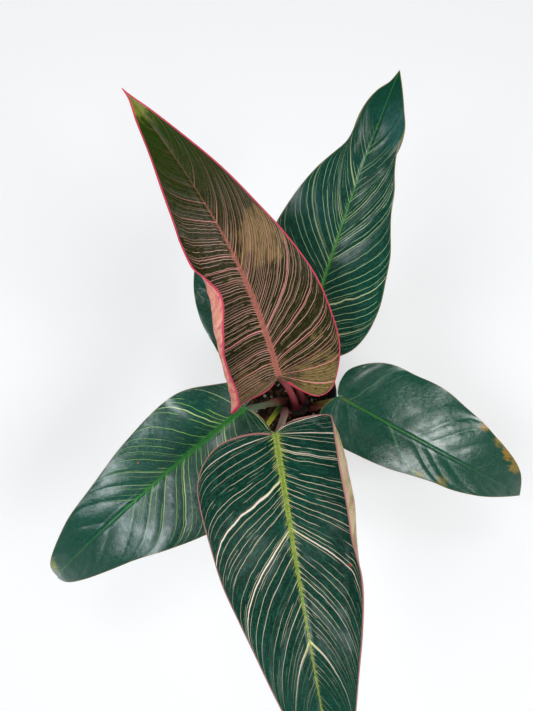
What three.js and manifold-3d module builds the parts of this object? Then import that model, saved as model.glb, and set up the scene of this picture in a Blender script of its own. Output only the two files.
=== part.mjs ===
// A young striped philodendron in a thin plastic nursery pot.
// Millimetres, +Z up. The origin is the centre of the pot's base, and the plant's front faces -Y.

import * as THREE from "three";
import { mergeVertices } from "three/addons/utils/BufferGeometryUtils.js";
import Module from "manifold-3d";

const wasm = await Module();
wasm.setup();

// Driving dimensions.
const GAP = 0.3;
const POT_HEIGHT = 90;
const RIM_RADIUS = 50;
const BASE_RADIUS = 38;
const WALL = 1.4;
const RIM_BAND = 9;
const RIM_STEP = 2.2;
const SOIL_TOP = 79;
const CROWN = new THREE.Vector3(15, -9, SOIL_TOP);
const CROWN_RADIUS = 9;
const CROWN_TOP = 98;
const BLADE_THICKNESS = 1.0;
const FAN_SHARE = 0.22;

const COLOURS = {
  pot: { color: 0x17181a, roughness: 0.45, metalness: 0 },
  soil: { color: 0x2a1f17, roughness: 1, metalness: 0 },
  pink: { color: 0x6b4a3c, roughness: 0.5, metalness: 0 },
  dark: { color: 0x1c3f38, roughness: 0.35, metalness: 0 },
  green: { color: 0x24503f, roughness: 0.35, metalness: 0 },
  crimson: { color: 0x8e2637, roughness: 0.4, metalness: 0 },
  olive: { color: 0x6d6a3c, roughness: 0.5, metalness: 0 },
  sheath: { color: 0x6a3129, roughness: 0.7, metalness: 0 },
  stub: { color: 0xb5c043, roughness: 0.5, metalness: 0 },
};

// Each leaf lies flat first: x is the distance out from the midrib and y runs along the midrib
// from the junction with the petiole. The outlines run from the back of each lobe to the tip.
// Tables hold [share of the length, value]: yaw, pitch and roll turn the midrib, fold is the
// blade's angle to the side, arch bends it per 40 mm outwards, and curl rolls the strip of the
// blade next to the margin up, where strip gives that strip's width.
const LEAVES = {
  pink: {
    colour: "pink",
    junction: [-6, -1, 225],
    heading: 108,
    length: 197,
    yaw: [[0, 0], [0.3, 7], [0.6, 16], [1, 24]],
    pitch: [[-0.2, 44], [0, 44], [0.5, 32], [1, 12]],
    right: {
      outline: [
        [5, -7], [13, -18], [23, -26], [33, -23], [40, -8], [45, 14], [44, 36], [41, 60],
        [35, 82], [27, 107], [20, 131], [12, 156], [5, 179], [1, 192], [0, 197],
      ],
      fold: [[0, 12], [1, 12]],
      arch: [[0, -14], [1, -14]],
      curl: [[0, 0], [1, 0]],
    },
    left: {
      outline: [
        [4, -5], [9, -7.5], [16, -8.5], [24, -8], [32, -8.5], [40, -8], [45, -3], [46.5, 5], [46, 15], [43, 30],
        [40.5, 46], [40, 62], [37, 76], [31, 92], [25.5, 112], [19, 136], [13, 156], [6, 178], [1, 190], [0, 197],
      ],
      fold: [[0, 14], [1, 14]],
      arch: [[0, 0], [1, 0]],
      curl: [
        [-0.06, 0], [-0.03, 60], [0.02, 145], [0.12, 135], [0.2, 125], [0.28, 165], [0.37, 178],
        [0.44, 120], [0.5, 50], [0.58, 0],
      ],
      strip: [[-0.05, 15], [0.06, 18.5], [0.15, 15], [0.25, 14.5], [0.36, 18.5], [0.5, 15]],
    },
  },
  back: {
    colour: "dark",
    junction: [14, 26, 192],
    heading: 74,
    length: 199,
    yaw: [[0, 0], [1, -6.5]],
    pitch: [[-0.2, 30], [0, 30], [0.5, 25], [0.8, 10], [1, 0]],
    right: {
      outline: [
        [3, -3], [8, -7], [17, -6], [27, 0], [35, 8], [41, 22], [43, 42], [41, 62], [38, 80],
        [33, 94], [29, 106], [26, 120], [21, 134], [18, 147], [18, 160], [13, 172], [7, 185], [0, 199],
      ],
      fold: [[0, 10], [1, 10]],
      arch: [[0, -12], [0.6, -12], [0.72, -60], [0.85, -10], [1, 0]],
      curl: [[0, 0], [1, 0]],
    },
    left: {
      outline: [
        [4, -6], [10, -12], [20, -14], [32, -4], [40, 14], [44, 36], [45, 58], [44, 76], [40, 92],
        [35, 106], [29, 119], [22, 131], [16, 143], [14, 155], [13, 167], [9, 179], [3, 189], [0, 199],
      ],
      fold: [[0, 10], [1, 10]],
      arch: [[0, -12], [0.62, -12], [0.74, -80], [0.87, -20], [1, -10]],
      curl: [[0, 0], [1, 0]],
    },
  },
  left: {
    colour: "green",
    junction: [-31, -19, 175],
    heading: 220,
    length: 203,
    yaw: [[0, 0], [1, 3]],
    pitch: [[-0.2, 10], [0, 8], [0.4, 0], [0.8, -22], [1, -60]],
    right: {
      outline: [
        [3, -12], [9, -19], [16, -19], [23, -8], [33, 10], [40, 32], [40, 58], [37, 80], [32, 104],
        [27, 128], [22, 152], [14, 177], [7, 194], [0, 203],
      ],
      fold: [[-0.1, 52], [0.03, 48], [0.22, 16], [1, 10]],
      arch: [[0, -18], [1, -18]],
      curl: [[0, 0], [1, 0]],
    },
    left: {
      outline: [
        [4, -2], [10, -4], [23, -5], [38, 0], [50, 16], [56, 42], [55, 66], [50, 86], [43, 104],
        [33, 126], [26, 146], [17, 170], [8, 192], [0, 203],
      ],
      fold: [[0, 10], [1, 10]],
      arch: [[0, -12], [1, -12]],
      curl: [[0, 0], [1, 0]],
    },
  },
  front: {
    colour: "dark",
    junction: [-8, -40, 222],
    heading: 278,
    length: 212,
    yaw: [[0, 0], [1, 3]],
    pitch: [[-0.2, 24], [0, 24], [0.4, 14], [0.8, -6], [1, -20]],
    right: {
      outline: [
        [4, 0], [12, -1], [24, 0], [38, 4], [49, 15], [54, 28], [53, 44], [50, 62], [45, 86],
        [38, 107], [31, 127], [22, 154], [12, 182], [5, 200], [0, 212],
      ],
      fold: [[0, 10], [1, 10]],
      arch: [[0, -12], [1, -12]],
      curl: [[0, 0], [1, 0]],
    },
    left: {
      outline: [
        [3, -3], [8, -6], [17, -7], [33, -5], [45, 2], [52, 16], [53, 34], [52, 56], [48, 78],
        [41, 99], [33, 118], [27, 134], [22, 150], [17.5, 165], [12, 182], [5, 200], [0, 212],
      ],
      fold: [[0, 10], [1, 10]],
      arch: [[0, -6], [1, -6]],
      curl: [[-0.04, 0], [0.02, 110], [0.1, 160], [0.2, 172], [0.34, 150], [0.46, 90], [0.58, 30], [0.7, 0]],
      strip: [[0, 20], [1, 20]],
    },
  },
  right: {
    colour: "green",
    junction: [44, -8, 150],
    heading: -30,
    length: 181,
    yaw: [[0, 0], [1, 6]],
    pitch: [[-0.2, 10], [0, 5], [0.4, -8], [0.8, -22], [1, -34]],
    right: {
      outline: [
        [4, -3], [9, -5], [18, -7], [28, 0], [34, 15], [34, 35], [32, 57], [28, 76], [25, 93],
        [23, 112], [18, 134], [10, 157], [4, 172], [0, 181],
      ],
      fold: [[0, 10], [1, 10]],
      arch: [[0, -12], [1, -12]],
      curl: [[0, 0], [1, 0]],
    },
    left: {
      outline: [
        [4, -3], [10, -5], [22, -4], [32, 4], [40, 16], [44, 30], [45, 46], [46, 62], [45, 78],
        [42, 94], [38, 110], [33, 127], [29, 142], [22, 158], [14, 170], [6, 177], [0, 181],
      ],
      fold: [[0, 10], [1, 10]],
      arch: [[0, -12], [1, -12]],
      curl: [[0, 0], [1, 0]],
    },
  },
  rear: {
    colour: "green",
    junction: [-18, 18, 140],
    heading: 109,
    length: 142,
    yaw: [[0, 0], [1, -4]],
    pitch: [[-0.2, 20], [0, 18], [0.4, 5], [0.8, -12], [1, -25]],
    right: {
      outline: [
        [4, -6], [10, -10], [18, -8], [27, 0], [32, 14], [33, 34], [30, 58], [25, 82],
        [19, 104], [11, 124], [4, 136], [0, 142],
      ],
      fold: [[0, 10], [1, 10]],
      arch: [[0, -12], [1, -12]],
      curl: [[0, 0], [1, 0]],
    },
    left: {
      outline: [
        [4, -6], [10, -10], [17, -8], [23, 0], [28, 12], [32, 30], [36, 52], [34, 76],
        [26, 100], [14, 122], [5, 136], [0, 142],
      ],
      fold: [[0, 10], [1, 10]],
      arch: [[0, -12], [1, -12]],
      curl: [[0, 0], [1, 0]],
    },
  },
};

// Where each petiole leaves the crown: its angle round the stem, its height, its distance from
// the stem's middle (outside the stem if none is given), and its radius at the crown and below
// the blade.
const PETIOLES = {
  pink: { colour: "crimson", angle: 200, height: CROWN_TOP + 1, out: 3.4, foot: 3.3, top: 2.4 },
  back: { colour: "olive", angle: 60, height: 90, foot: 3.3, top: 2.3 },
  left: { colour: "olive", angle: 168, height: 87, foot: 3.3, top: 2.4 },
  front: { colour: "olive", angle: 204, height: 90, foot: 3.3, top: 2.5 },
  right: { colour: "olive", angle: -8, height: 86, foot: 3.3, top: 2.3 },
  rear: { colour: "olive", angle: 112, height: 85, foot: 3.0, top: 2.1 },
};

// Dried or coloured sheaths that wrap the lower part of a petiole: the stretch they cover as
// shares of its length, which way the open side faces, and how far round they reach at the foot.
const SHEATHS = {
  left: { colour: "sheath", from: 0.1, to: 0.5, facing: 250, reach: 105 },
  right: { colour: "sheath", from: 0.12, to: 0.62, facing: 100, reach: 105 },
  front: { colour: "crimson", from: 0.1, to: 0.34, facing: 60, reach: 95 },
};
const SHEATH_THICKNESS = 0.8;

const object = new THREE.Group();

function addMesh(name, geometry, look) {
  const mesh = new THREE.Mesh(geometry, new THREE.MeshStandardMaterial(look));
  mesh.name = name;
  object.add(mesh);
  return mesh;
}

function toSolid(geometry) {
  const bare = geometry.clone();
  bare.deleteAttribute("normal");
  bare.deleteAttribute("uv");
  const merged = mergeVertices(bare, 1e-4);
  return new wasm.Manifold(
    new wasm.Mesh({
      numProp: 3,
      vertProperties: new Float32Array(merged.attributes.position.array),
      triVerts: new Uint32Array(merged.index.array),
    }),
  );
}

function toGeometry(solid) {
  const mesh = solid.getMesh();
  const geometry = new THREE.BufferGeometry();
  geometry.setAttribute("position", new THREE.BufferAttribute(new Float32Array(mesh.vertProperties), 3));
  geometry.setIndex(new THREE.BufferAttribute(new Uint32Array(mesh.triVerts), 1));
  geometry.computeVertexNormals();
  return geometry;
}

// A lathe turns its profile about Y, so the result is stood up to turn about Z.
function turned(points, sides) {
  const profile = points.map(([r, z]) => new THREE.Vector2(r, z));
  return new THREE.LatheGeometry(profile, sides).rotateX(Math.PI / 2);
}

// Smooth value at a place in a table: a cubic through the keys that never overshoots them.
function keyed(table, at) {
  const xs = table.map((row) => row[0]);
  const ys = table.map((row) => row[1]);
  const last = xs.length - 1;
  if (at <= xs[0]) return ys[0];
  if (at >= xs[last]) return ys[last];
  const step = xs.slice(1).map((x, i) => x - xs[i]);
  const rise = step.map((h, i) => (ys[i + 1] - ys[i]) / h);
  const slope = ys.map((_, i) => {
    if (i === 0) return rise[0];
    if (i === last) return rise[last - 1];
    if (rise[i - 1] * rise[i] <= 0) return 0;
    const w1 = 2 * step[i] + step[i - 1];
    const w2 = step[i] + 2 * step[i - 1];
    return (w1 + w2) / (w1 / rise[i - 1] + w2 / rise[i]);
  });
  const i = xs.findIndex((x) => x > at) - 1;
  const h = step[i];
  const s = (at - xs[i]) / h;
  return (
    ys[i] * (1 + 2 * s) * (1 - s) ** 2 +
    slope[i] * h * s * (1 - s) ** 2 +
    ys[i + 1] * s * s * (3 - 2 * s) +
    slope[i + 1] * h * s * s * (s - 1)
  );
}

function radians(degrees) {
  return THREE.MathUtils.degToRad(degrees);
}

// The midrib as a list of frames: point, direction along it, direction to the leaf's right side
// and the direction its upper face looks.
function midribFrames(leaf) {
  const count = 240;
  const start = -45;
  const frames = [];
  const at = new THREE.Vector3();
  let home = null;
  for (let i = 0; i <= count; i += 1) {
    const y = start + ((leaf.length - start) * i) / count;
    const share = y / leaf.length;
    const heading = radians(leaf.heading + keyed(leaf.yaw, share));
    const pitch = radians(keyed(leaf.pitch, share));
    const along = new THREE.Vector3(
      Math.cos(heading) * Math.cos(pitch),
      Math.sin(heading) * Math.cos(pitch),
      Math.sin(pitch),
    );
    const side = new THREE.Vector3(Math.sin(heading), -Math.cos(heading), 0);
    const up = side.clone().cross(along);
    if (i > 0) at.addScaledVector(along, (leaf.length - start) / count);
    frames.push({ y, at: at.clone(), along, side, up });
    if (y <= 0) home = at.clone().addScaledVector(along, -y);
  }
  const shift = new THREE.Vector3(...leaf.junction).sub(home);
  for (const frame of frames) frame.at.add(shift);
  return frames;
}

function frameAt(frames, y) {
  const first = frames[0].y;
  const pitch = frames[1].y - first;
  const place = THREE.MathUtils.clamp((y - first) / pitch, 0, frames.length - 1.001);
  const i = Math.floor(place);
  const mix = (key) => frames[i][key].clone().lerp(frames[i + 1][key], place - i);
  return { at: mix("at"), along: mix("along"), side: mix("side"), up: mix("up") };
}

// The outline as a smooth curve from the back of the lobe to the tip.
function outlineCurve(side) {
  const points = side.outline.map(([x, y]) => new THREE.Vector3(x, y, 0));
  return new THREE.CatmullRomCurve3(points, false, "centripetal");
}

// Distance from the midrib line to the outer margin, as a table over y.
function widthTable(curve) {
  const points = curve.getPoints(160);
  const rear = points.reduce((low, p, i) => (p.y < points[low].y ? i : low), 0);
  return points.slice(rear);
}

function widthAt(table, y) {
  if (y <= table[0].y) return table[0].x;
  const i = table.findIndex((p) => p.y > y);
  if (i < 0) return table[table.length - 1].x;
  const a = table[i - 1];
  const b = table[i];
  return a.x + ((b.x - a.x) * (y - a.y)) / (b.y - a.y);
}

// Flat point of one vein: s is 0 at the back of the lobe and 1 at the tip, t is 0 at the midrib
// and 1 at the margin. Veins of the lobes fan out from the junction.
function veinPoint(leaf, curve, s, t) {
  const end = curve.getPointAt(s);
  const tangent = curve.getTangentAt(s);
  const share = THREE.MathUtils.clamp((s - FAN_SHARE) / (1 - FAN_SHARE), 0, 1);
  const start = new THREE.Vector3(0, leaf.length * share, 0);
  const reach = end.distanceTo(start);
  const blend = THREE.MathUtils.smoothstep(s, 0, FAN_SHARE * 1.3);
  const turn = radians(165 + (38 - 165) * blend);
  const p1 = start.clone().add(new THREE.Vector3(Math.sin(turn), Math.cos(turn), 0).multiplyScalar(0.3 * reach));
  const p2 = end.clone().addScaledVector(tangent, -0.3 * reach * blend);
  p2.sub(end.clone().sub(p1).multiplyScalar(0.3 * (1 - blend)));
  return new THREE.CubicBezierCurve3(start, p1, p2, end).getPoint(t);
}

// Bends a flat point into place: the section across the midrib is an arc whose angle grows with
// arch, and rolls over in the last strip before the margin.
function bentPoint(leaf, frames, side, widths, sign, flat) {
  const share = flat.y / leaf.length;
  const fold = keyed(side.fold, share);
  const arch = keyed(side.arch, share);
  const curl = keyed(side.curl, share);
  const width = widthAt(widths, flat.y);
  const strip = side.strip ? keyed(side.strip, share) : Math.max(width, 1);
  const steps = 28;
  let out = 0;
  let lift = 0;
  for (let k = 0; k < steps; k += 1) {
    const x = (flat.x * (k + 0.5)) / steps;
    const inner = THREE.MathUtils.clamp((x - (width - strip)) / strip, 0, 1.3);
    const angle = radians(fold + (arch * x) / 40 + curl * inner * Math.min(1, inner * 2));
    out += (Math.cos(angle) * flat.x) / steps;
    lift += (Math.sin(angle) * flat.x) / steps;
  }
  const frame = frameAt(frames, flat.y);
  return frame.at.addScaledVector(frame.side, sign * out).addScaledVector(frame.up, lift);
}

// Closes an open sheet of triangles into a shell: both faces, offset half the thickness each
// along the sheet's normals, and a wall round the edge.
function shellFromSheet(points, triangles, thickness) {
  const normals = points.map(() => new THREE.Vector3());
  for (const [a, b, c] of triangles) {
    const ab = points[b].clone().sub(points[a]);
    const ac = points[c].clone().sub(points[a]);
    const normal = ab.cross(ac);
    for (const i of [a, b, c]) normals[i].add(normal);
  }
  normals.forEach((normal) => normal.normalize());
  const count = points.length;
  const places = [];
  for (const sign of [1, -1]) {
    points.forEach((point, i) => {
      places.push(...point.clone().addScaledVector(normals[i], (sign * thickness) / 2).toArray());
    });
  }
  const index = [];
  const edges = new Map();
  for (const [a, b, c] of triangles) {
    index.push(a, b, c, count + a, count + c, count + b);
    for (const [p, q] of [[a, b], [b, c], [c, a]]) edges.set(`${p},${q}`, [p, q]);
  }
  for (const [p, q] of edges.values()) {
    if (edges.has(`${q},${p}`)) continue;
    index.push(p, count + p, q, q, count + p, count + q);
  }
  const geometry = new THREE.BufferGeometry();
  geometry.setAttribute("position", new THREE.Float32BufferAttribute(places, 3));
  geometry.setIndex(index);
  geometry.computeVertexNormals();
  return geometry;
}

function rolls(leaf) {
  return [leaf.right, leaf.left].some((side) => side.curl.some(([, angle]) => angle > 0));
}

// One blade: both halves share the vertices of the midrib, and the veins of a lobe share the
// junction. A blade with a rolled margin gets more columns there.
function bladeGeometry(leaf, frames) {
  const rows = 18;
  const columns = rolls(leaf) ? [0, 0.3, 0.55, 0.7, 0.79, 0.86, 0.93, 1] : [0, 0.22, 0.45, 0.7, 0.87, 1];
  const points = [];
  const known = new Map();
  const triangles = [];
  for (const [name, sign] of [["right", 1], ["left", -1]]) {
    const side = leaf[name];
    const curve = outlineCurve(side);
    const widths = widthTable(curve);
    const grid = [];
    for (let i = 0; i <= rows; i += 1) {
      grid.push(columns.map((t) => {
        const flat = veinPoint(leaf, curve, i / rows, t);
        const key = `${(sign * flat.x).toFixed(3)},${flat.y.toFixed(3)}`.replace("-0.000", "0.000");
        if (!known.has(key)) {
          known.set(key, points.length);
          points.push(bentPoint(leaf, frames, side, widths, sign, flat));
        }
        return known.get(key);
      }));
    }
    for (let i = 0; i < rows; i += 1) {
      for (let j = 0; j < columns.length - 1; j += 1) {
        const [a, b, c, d] = [grid[i][j], grid[i][j + 1], grid[i + 1][j + 1], grid[i + 1][j]];
        for (const face of [[a, b, c], [a, c, d]]) {
          if (new Set(face).size < 3) continue;
          triangles.push(sign > 0 ? face : [face[0], face[2], face[1]]);
        }
      }
    }
  }
  return shellFromSheet(points, triangles, BLADE_THICKNESS);
}

// A round stalk whose radius changes along its curve, with flat ends.
function stalkGeometry(curve, radiusAt, steps, sides) {
  const places = [];
  const index = [];
  const frames = curve.computeFrenetFrames(steps, false);
  for (let i = 0; i <= steps; i += 1) {
    const centre = curve.getPointAt(i / steps);
    const radius = radiusAt(i / steps);
    for (let k = 0; k < sides; k += 1) {
      const angle = (2 * Math.PI * k) / sides;
      const point = centre.clone();
      point.addScaledVector(frames.normals[i], radius * Math.cos(angle));
      point.addScaledVector(frames.binormals[i], radius * Math.sin(angle));
      places.push(...point.toArray());
    }
  }
  for (let i = 0; i < steps; i += 1) {
    for (let k = 0; k < sides; k += 1) {
      const a = i * sides + k;
      const b = i * sides + ((k + 1) % sides);
      index.push(a, b, b + sides, a, b + sides, a + sides);
    }
  }
  const last = steps * sides;
  for (let k = 1; k < sides - 1; k += 1) {
    index.push(0, k + 1, k);
    index.push(last, last + k, last + k + 1);
  }
  const geometry = new THREE.BufferGeometry();
  geometry.setAttribute("position", new THREE.Float32BufferAttribute(places, 3));
  geometry.setIndex(index);
  geometry.computeVertexNormals();
  return geometry;
}

// Pot: one moulded wall with a stepped rim band. The floor's middle and its outer ring stand on
// the ground, and the ring between them is raised and pierced.
const POT_SIDES = 56;
const DRAIN_COUNT = 6;
const DRAIN_RADIUS = 4;
const DRAIN_RING = 23;
const RAISED_INNER = 16;
const RAISED_OUTER = 30;
const RAISE = 2.5;
const FLOOR = 1.6;

function wallRadius(z) {
  const slope = (RIM_RADIUS - RIM_STEP - BASE_RADIUS) / POT_HEIGHT;
  return BASE_RADIUS + slope * z;
}

function potGeometry() {
  const bandLow = POT_HEIGHT - RIM_BAND;
  const outerBandLow = wallRadius(bandLow) + RIM_STEP;
  const profile = [
    [0, 0],
    [RAISED_INNER, 0],
    [RAISED_INNER + 1, RAISE],
    [RAISED_OUTER, RAISE],
    [RAISED_OUTER + 1, 0],
    [BASE_RADIUS - 1.5, 0],
    [wallRadius(1.5), 1.5],
    [wallRadius(bandLow - RIM_STEP), bandLow - RIM_STEP],
    [outerBandLow, bandLow],
    [RIM_RADIUS - 0.5, POT_HEIGHT - 1],
    [RIM_RADIUS, POT_HEIGHT - 0.6],
    [RIM_RADIUS - 0.3, POT_HEIGHT],
    [RIM_RADIUS - WALL, POT_HEIGHT],
    [outerBandLow - WALL, bandLow + 1],
    [wallRadius(bandLow - RIM_STEP) - WALL, bandLow - RIM_STEP + 1],
    [wallRadius(5) - WALL, 5],
    [wallRadius(5) - WALL - 1, RAISE + FLOOR],
    [0, RAISE + FLOOR],
  ];
  let pot = toSolid(turned(profile, POT_SIDES));
  for (let k = 0; k < DRAIN_COUNT; k += 1) {
    const angle = (2 * Math.PI * (k + 0.5)) / DRAIN_COUNT;
    const hole = new THREE.CylinderGeometry(DRAIN_RADIUS, DRAIN_RADIUS, 12, 16).rotateX(Math.PI / 2);
    hole.translate(DRAIN_RING * Math.cos(angle), DRAIN_RING * Math.sin(angle), 3);
    pot = pot.subtract(toSolid(hole));
  }
  return toGeometry(pot);
}

addMesh("nursery_pot", potGeometry(), COLOURS.pot);

// Potting mix: fills the pot to just under the rim band, with a low mound towards the middle.
function soilGeometry() {
  const floor = RAISE + FLOOR + GAP;
  const shoulder = SOIL_TOP - 2.5;
  const clear = WALL + GAP;
  const profile = [
    [0, floor],
    [wallRadius(5) - clear - 1.6, floor],
    [wallRadius(5) - clear - 0.4, 6.4],
    [wallRadius(shoulder) - clear - 0.2, shoulder],
    [wallRadius(shoulder) - clear - 2.5, SOIL_TOP - 1.4],
    [32, SOIL_TOP - 0.8],
    [26, SOIL_TOP],
    [0, SOIL_TOP],
  ];
  return turned(profile, POT_SIDES);
}

addMesh("potting_soil", soilGeometry(), COLOURS.soil);

// Crown: the short thick stem that stands on the mix and carries every petiole.
function crownGeometry() {
  const foot = SOIL_TOP + GAP;
  const profile = [
    [0, foot],
    [CROWN_RADIUS + 0.8, foot],
    [CROWN_RADIUS, foot + 3],
    [CROWN_RADIUS, CROWN_TOP - 3],
    [CROWN_RADIUS - 2.5, CROWN_TOP],
    [0, CROWN_TOP],
  ];
  return turned(profile, 32).translate(CROWN.x, CROWN.y, 0);
}

addMesh("crown_stem", crownGeometry(), COLOURS.olive);

// Petiole: stands up beside the crown, leans out and meets the underside of its blade.
function petioleCurve(frames, stalk) {
  const angle = radians(stalk.angle);
  const outwards = new THREE.Vector3(Math.cos(angle), Math.sin(angle), 0);
  const foot = CROWN.clone().setZ(stalk.height);
  foot.addScaledVector(outwards, stalk.out ?? CROWN_RADIUS + GAP + stalk.foot + 0.1);
  const blade = frameAt(frames, 3);
  const slope = blade.at.clone().sub(foot).normalize().dot(blade.up);
  const reach = BLADE_THICKNESS / 2 + GAP + stalk.top * Math.sqrt(1 - slope ** 2);
  const end = blade.at.clone().addScaledVector(blade.up, -reach);
  const bow = foot.clone().sub(end).setZ(0).multiplyScalar(0.12);
  const low = foot.clone().lerp(end, 0.2).addScaledVector(bow, 0.7);
  const middle = foot.clone().lerp(end, 0.55).add(bow);
  return new THREE.CatmullRomCurve3([foot, low, middle, end], false, "centripetal");
}

function stalkRadius(stalk, u) {
  return stalk.foot + (stalk.top - stalk.foot) * Math.min(1, u * 1.6);
}

// Sheath: a thin gutter round the petiole that narrows to a point.
function sheathGeometry(curve, stalk, sheath) {
  const rows = 12;
  const columns = 10;
  const facing = radians(sheath.facing);
  const open = new THREE.Vector3(Math.cos(facing), Math.sin(facing), 0);
  const points = [];
  const triangles = [];
  for (let i = 0; i <= rows; i += 1) {
    const u = sheath.from + ((sheath.to - sheath.from) * i) / rows;
    const centre = curve.getPointAt(u);
    const along = curve.getTangentAt(u);
    const back = open.clone().addScaledVector(along, -open.dot(along)).normalize().negate();
    const side = along.clone().cross(back);
    const radius = stalkRadius(stalk, u) + GAP + SHEATH_THICKNESS * 0.6;
    const reach = radians(sheath.reach) * (1 - 0.94 * (i / rows) ** 2.2);
    for (let j = 0; j <= columns; j += 1) {
      const angle = reach * ((2 * j) / columns - 1);
      const point = centre.clone().addScaledVector(back, radius * Math.cos(angle));
      points.push(point.addScaledVector(side, radius * Math.sin(angle)));
    }
  }
  for (let i = 0; i < rows; i += 1) {
    for (let j = 0; j < columns; j += 1) {
      const a = i * (columns + 1) + j;
      const b = a + columns + 1;
      triangles.push([a, a + 1, b + 1], [a, b + 1, b]);
    }
  }
  return shellFromSheet(points, triangles, SHEATH_THICKNESS);
}

for (const [name, leaf] of Object.entries(LEAVES)) {
  const frames = midribFrames(leaf);
  addMesh(`blade_${name}`, bladeGeometry(leaf, frames), COLOURS[leaf.colour]);
  const stalk = PETIOLES[name];
  const curve = petioleCurve(frames, stalk);
  const radiusAt = (u) => stalkRadius(stalk, u);
  addMesh(`petiole_${name}`, stalkGeometry(curve, radiusAt, 14, 12), COLOURS[stalk.colour]);
  const sheath = SHEATHS[name];
  if (sheath) addMesh(`sheath_${name}`, sheathGeometry(curve, stalk, sheath), COLOURS[sheath.colour]);
}

// The next leaf, still rolled in its crimson sheath: a slender spike on top of the crown.
function spikeGeometry() {
  const foot = new THREE.Vector3(CROWN.x + 3.4, CROWN.y + 2.6, CROWN_TOP + 1);
  const curve = new THREE.CatmullRomCurve3([
    foot,
    new THREE.Vector3(14.5, -2.5, 124),
    new THREE.Vector3(10.8, 0.2, 147),
    new THREE.Vector3(8.2, 2.5, 170),
  ]);
  const radiusAt = (u) => 2.8 + 0.5 * Math.sin(Math.PI * Math.min(1, u * 2)) - 2.3 * u ** 1.6;
  return stalkGeometry(curve, radiusAt, 12, 12);
}

addMesh("new_leaf_spike", spikeGeometry(), COLOURS.crimson);

// A yellowing petiole base left where an old leaf was cut off, standing out of the mix.
function stubGeometry() {
  const curve = new THREE.CatmullRomCurve3([
    new THREE.Vector3(-3, -12.5, SOIL_TOP + GAP + 1.7),
    new THREE.Vector3(-7, -18.5, 89),
    new THREE.Vector3(-14.3, -28.8, 102),
  ]);
  return stalkGeometry(curve, (u) => 2.6 - 0.5 * u, 8, 12);
}

addMesh("cut_stub", stubGeometry(), COLOURS.stub);

export default object;
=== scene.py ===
"""A young striped philodendron with six leaves, rooted in a thin black nursery pot."""

import bmesh
import bpy
import numpy as np
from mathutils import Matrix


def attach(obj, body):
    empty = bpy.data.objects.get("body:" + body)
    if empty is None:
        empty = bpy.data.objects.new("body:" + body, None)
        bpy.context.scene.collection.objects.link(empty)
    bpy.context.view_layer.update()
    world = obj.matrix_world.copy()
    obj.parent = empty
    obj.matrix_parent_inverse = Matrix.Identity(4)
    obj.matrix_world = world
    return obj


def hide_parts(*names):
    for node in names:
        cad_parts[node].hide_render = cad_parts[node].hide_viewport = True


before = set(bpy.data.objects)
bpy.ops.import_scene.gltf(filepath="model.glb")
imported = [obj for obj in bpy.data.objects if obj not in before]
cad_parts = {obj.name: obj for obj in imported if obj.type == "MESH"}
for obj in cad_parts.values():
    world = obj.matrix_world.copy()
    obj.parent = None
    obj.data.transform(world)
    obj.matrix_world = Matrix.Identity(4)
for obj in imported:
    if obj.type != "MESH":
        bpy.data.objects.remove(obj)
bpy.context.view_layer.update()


# Nursery pot
# The thin black pot that growers use, injection moulded in polypropylene: one tapered wall with a
# stepped band under the lip, and a floor that stands on its middle and its outer ring. The ring
# between them is raised and has six drainage holes.

MM = 0.001
POT_HEIGHT = 90.0
BASE_RADIUS = 38.0
RIM_RADIUS = 50.0
RIM_STEP = 2.2
WALL = 1.4
BAND_LOW = 81.0
RAISED_UNDERSIDE = 2.5
FLOOR_TOP = 4.1
DRAIN_RING = (17.0, 30.0)
DRAIN_CENTRE = 23.0
DRAIN_RADIUS = 4.0
DRAIN_COUNT = 6
POT_SIDES = 192
SPOKE_STEPS = 8
HOLE_ROWS = 6


def wall_radius(z):
    """Outer radius of the plain wall: the base radius plus the taper times the height."""
    return BASE_RADIUS + (RIM_RADIUS - RIM_STEP - BASE_RADIUS) / POT_HEIGHT * z


def grid_faces(rows, columns, wrap=False, start=0):
    """Quads of a grid of points kept row by row; wrap joins the last column to the first."""
    i, j = np.meshgrid(np.arange(rows - 1), np.arange(columns - (not wrap)), indexing="ij")
    k = (j + 1) % columns
    quads = np.stack([i * columns + j, i * columns + k, (i + 1) * columns + k, (i + 1) * columns + j], -1)
    return start + quads.reshape(-1, 4)


def make_piece(name, points, faces, maps=None, fields=None, second=None, weld=0.002, sharp=None):
    """A mesh object from points in millimetres and quads. maps are UV maps and fields are numbers,
    both given per point; second marks the faces of the second material. Points closer than weld
    millimetres become one, which closes seams and poles."""
    mesh = bpy.data.meshes.new(name)
    corners = faces.ravel()
    mesh.vertices.add(len(points))
    mesh.vertices.foreach_set("co", (points * MM).astype(np.float32).ravel())
    mesh.loops.add(corners.size)
    mesh.loops.foreach_set("vertex_index", corners.astype(np.int32))
    mesh.polygons.add(len(faces))
    mesh.polygons.foreach_set("loop_start", np.arange(0, corners.size, faces.shape[1], dtype=np.int32))
    mesh.update(calc_edges=True)
    for key, values in (maps or {}).items():
        mesh.uv_layers.new(name=key).data.foreach_set("uv", values[corners].astype(np.float32).ravel())
    for key, values in (fields or {}).items():
        mesh.attributes.new(key, "FLOAT", "POINT").data.foreach_set("value", values.astype(np.float32))
    if second is not None:
        mesh.polygons.foreach_set("material_index", second.astype(np.int32))
    shape = bmesh.new()
    shape.from_mesh(mesh)
    bmesh.ops.remove_doubles(shape, verts=shape.verts, dist=weld * MM)
    shape.to_mesh(mesh)
    shape.free()
    mesh.shade_smooth()
    if sharp is not None:
        mesh.set_sharp_from_angle(angle=np.radians(sharp))
    piece = bpy.data.objects.new(name, mesh)
    bpy.context.scene.collection.objects.link(piece)
    return piece


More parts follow.
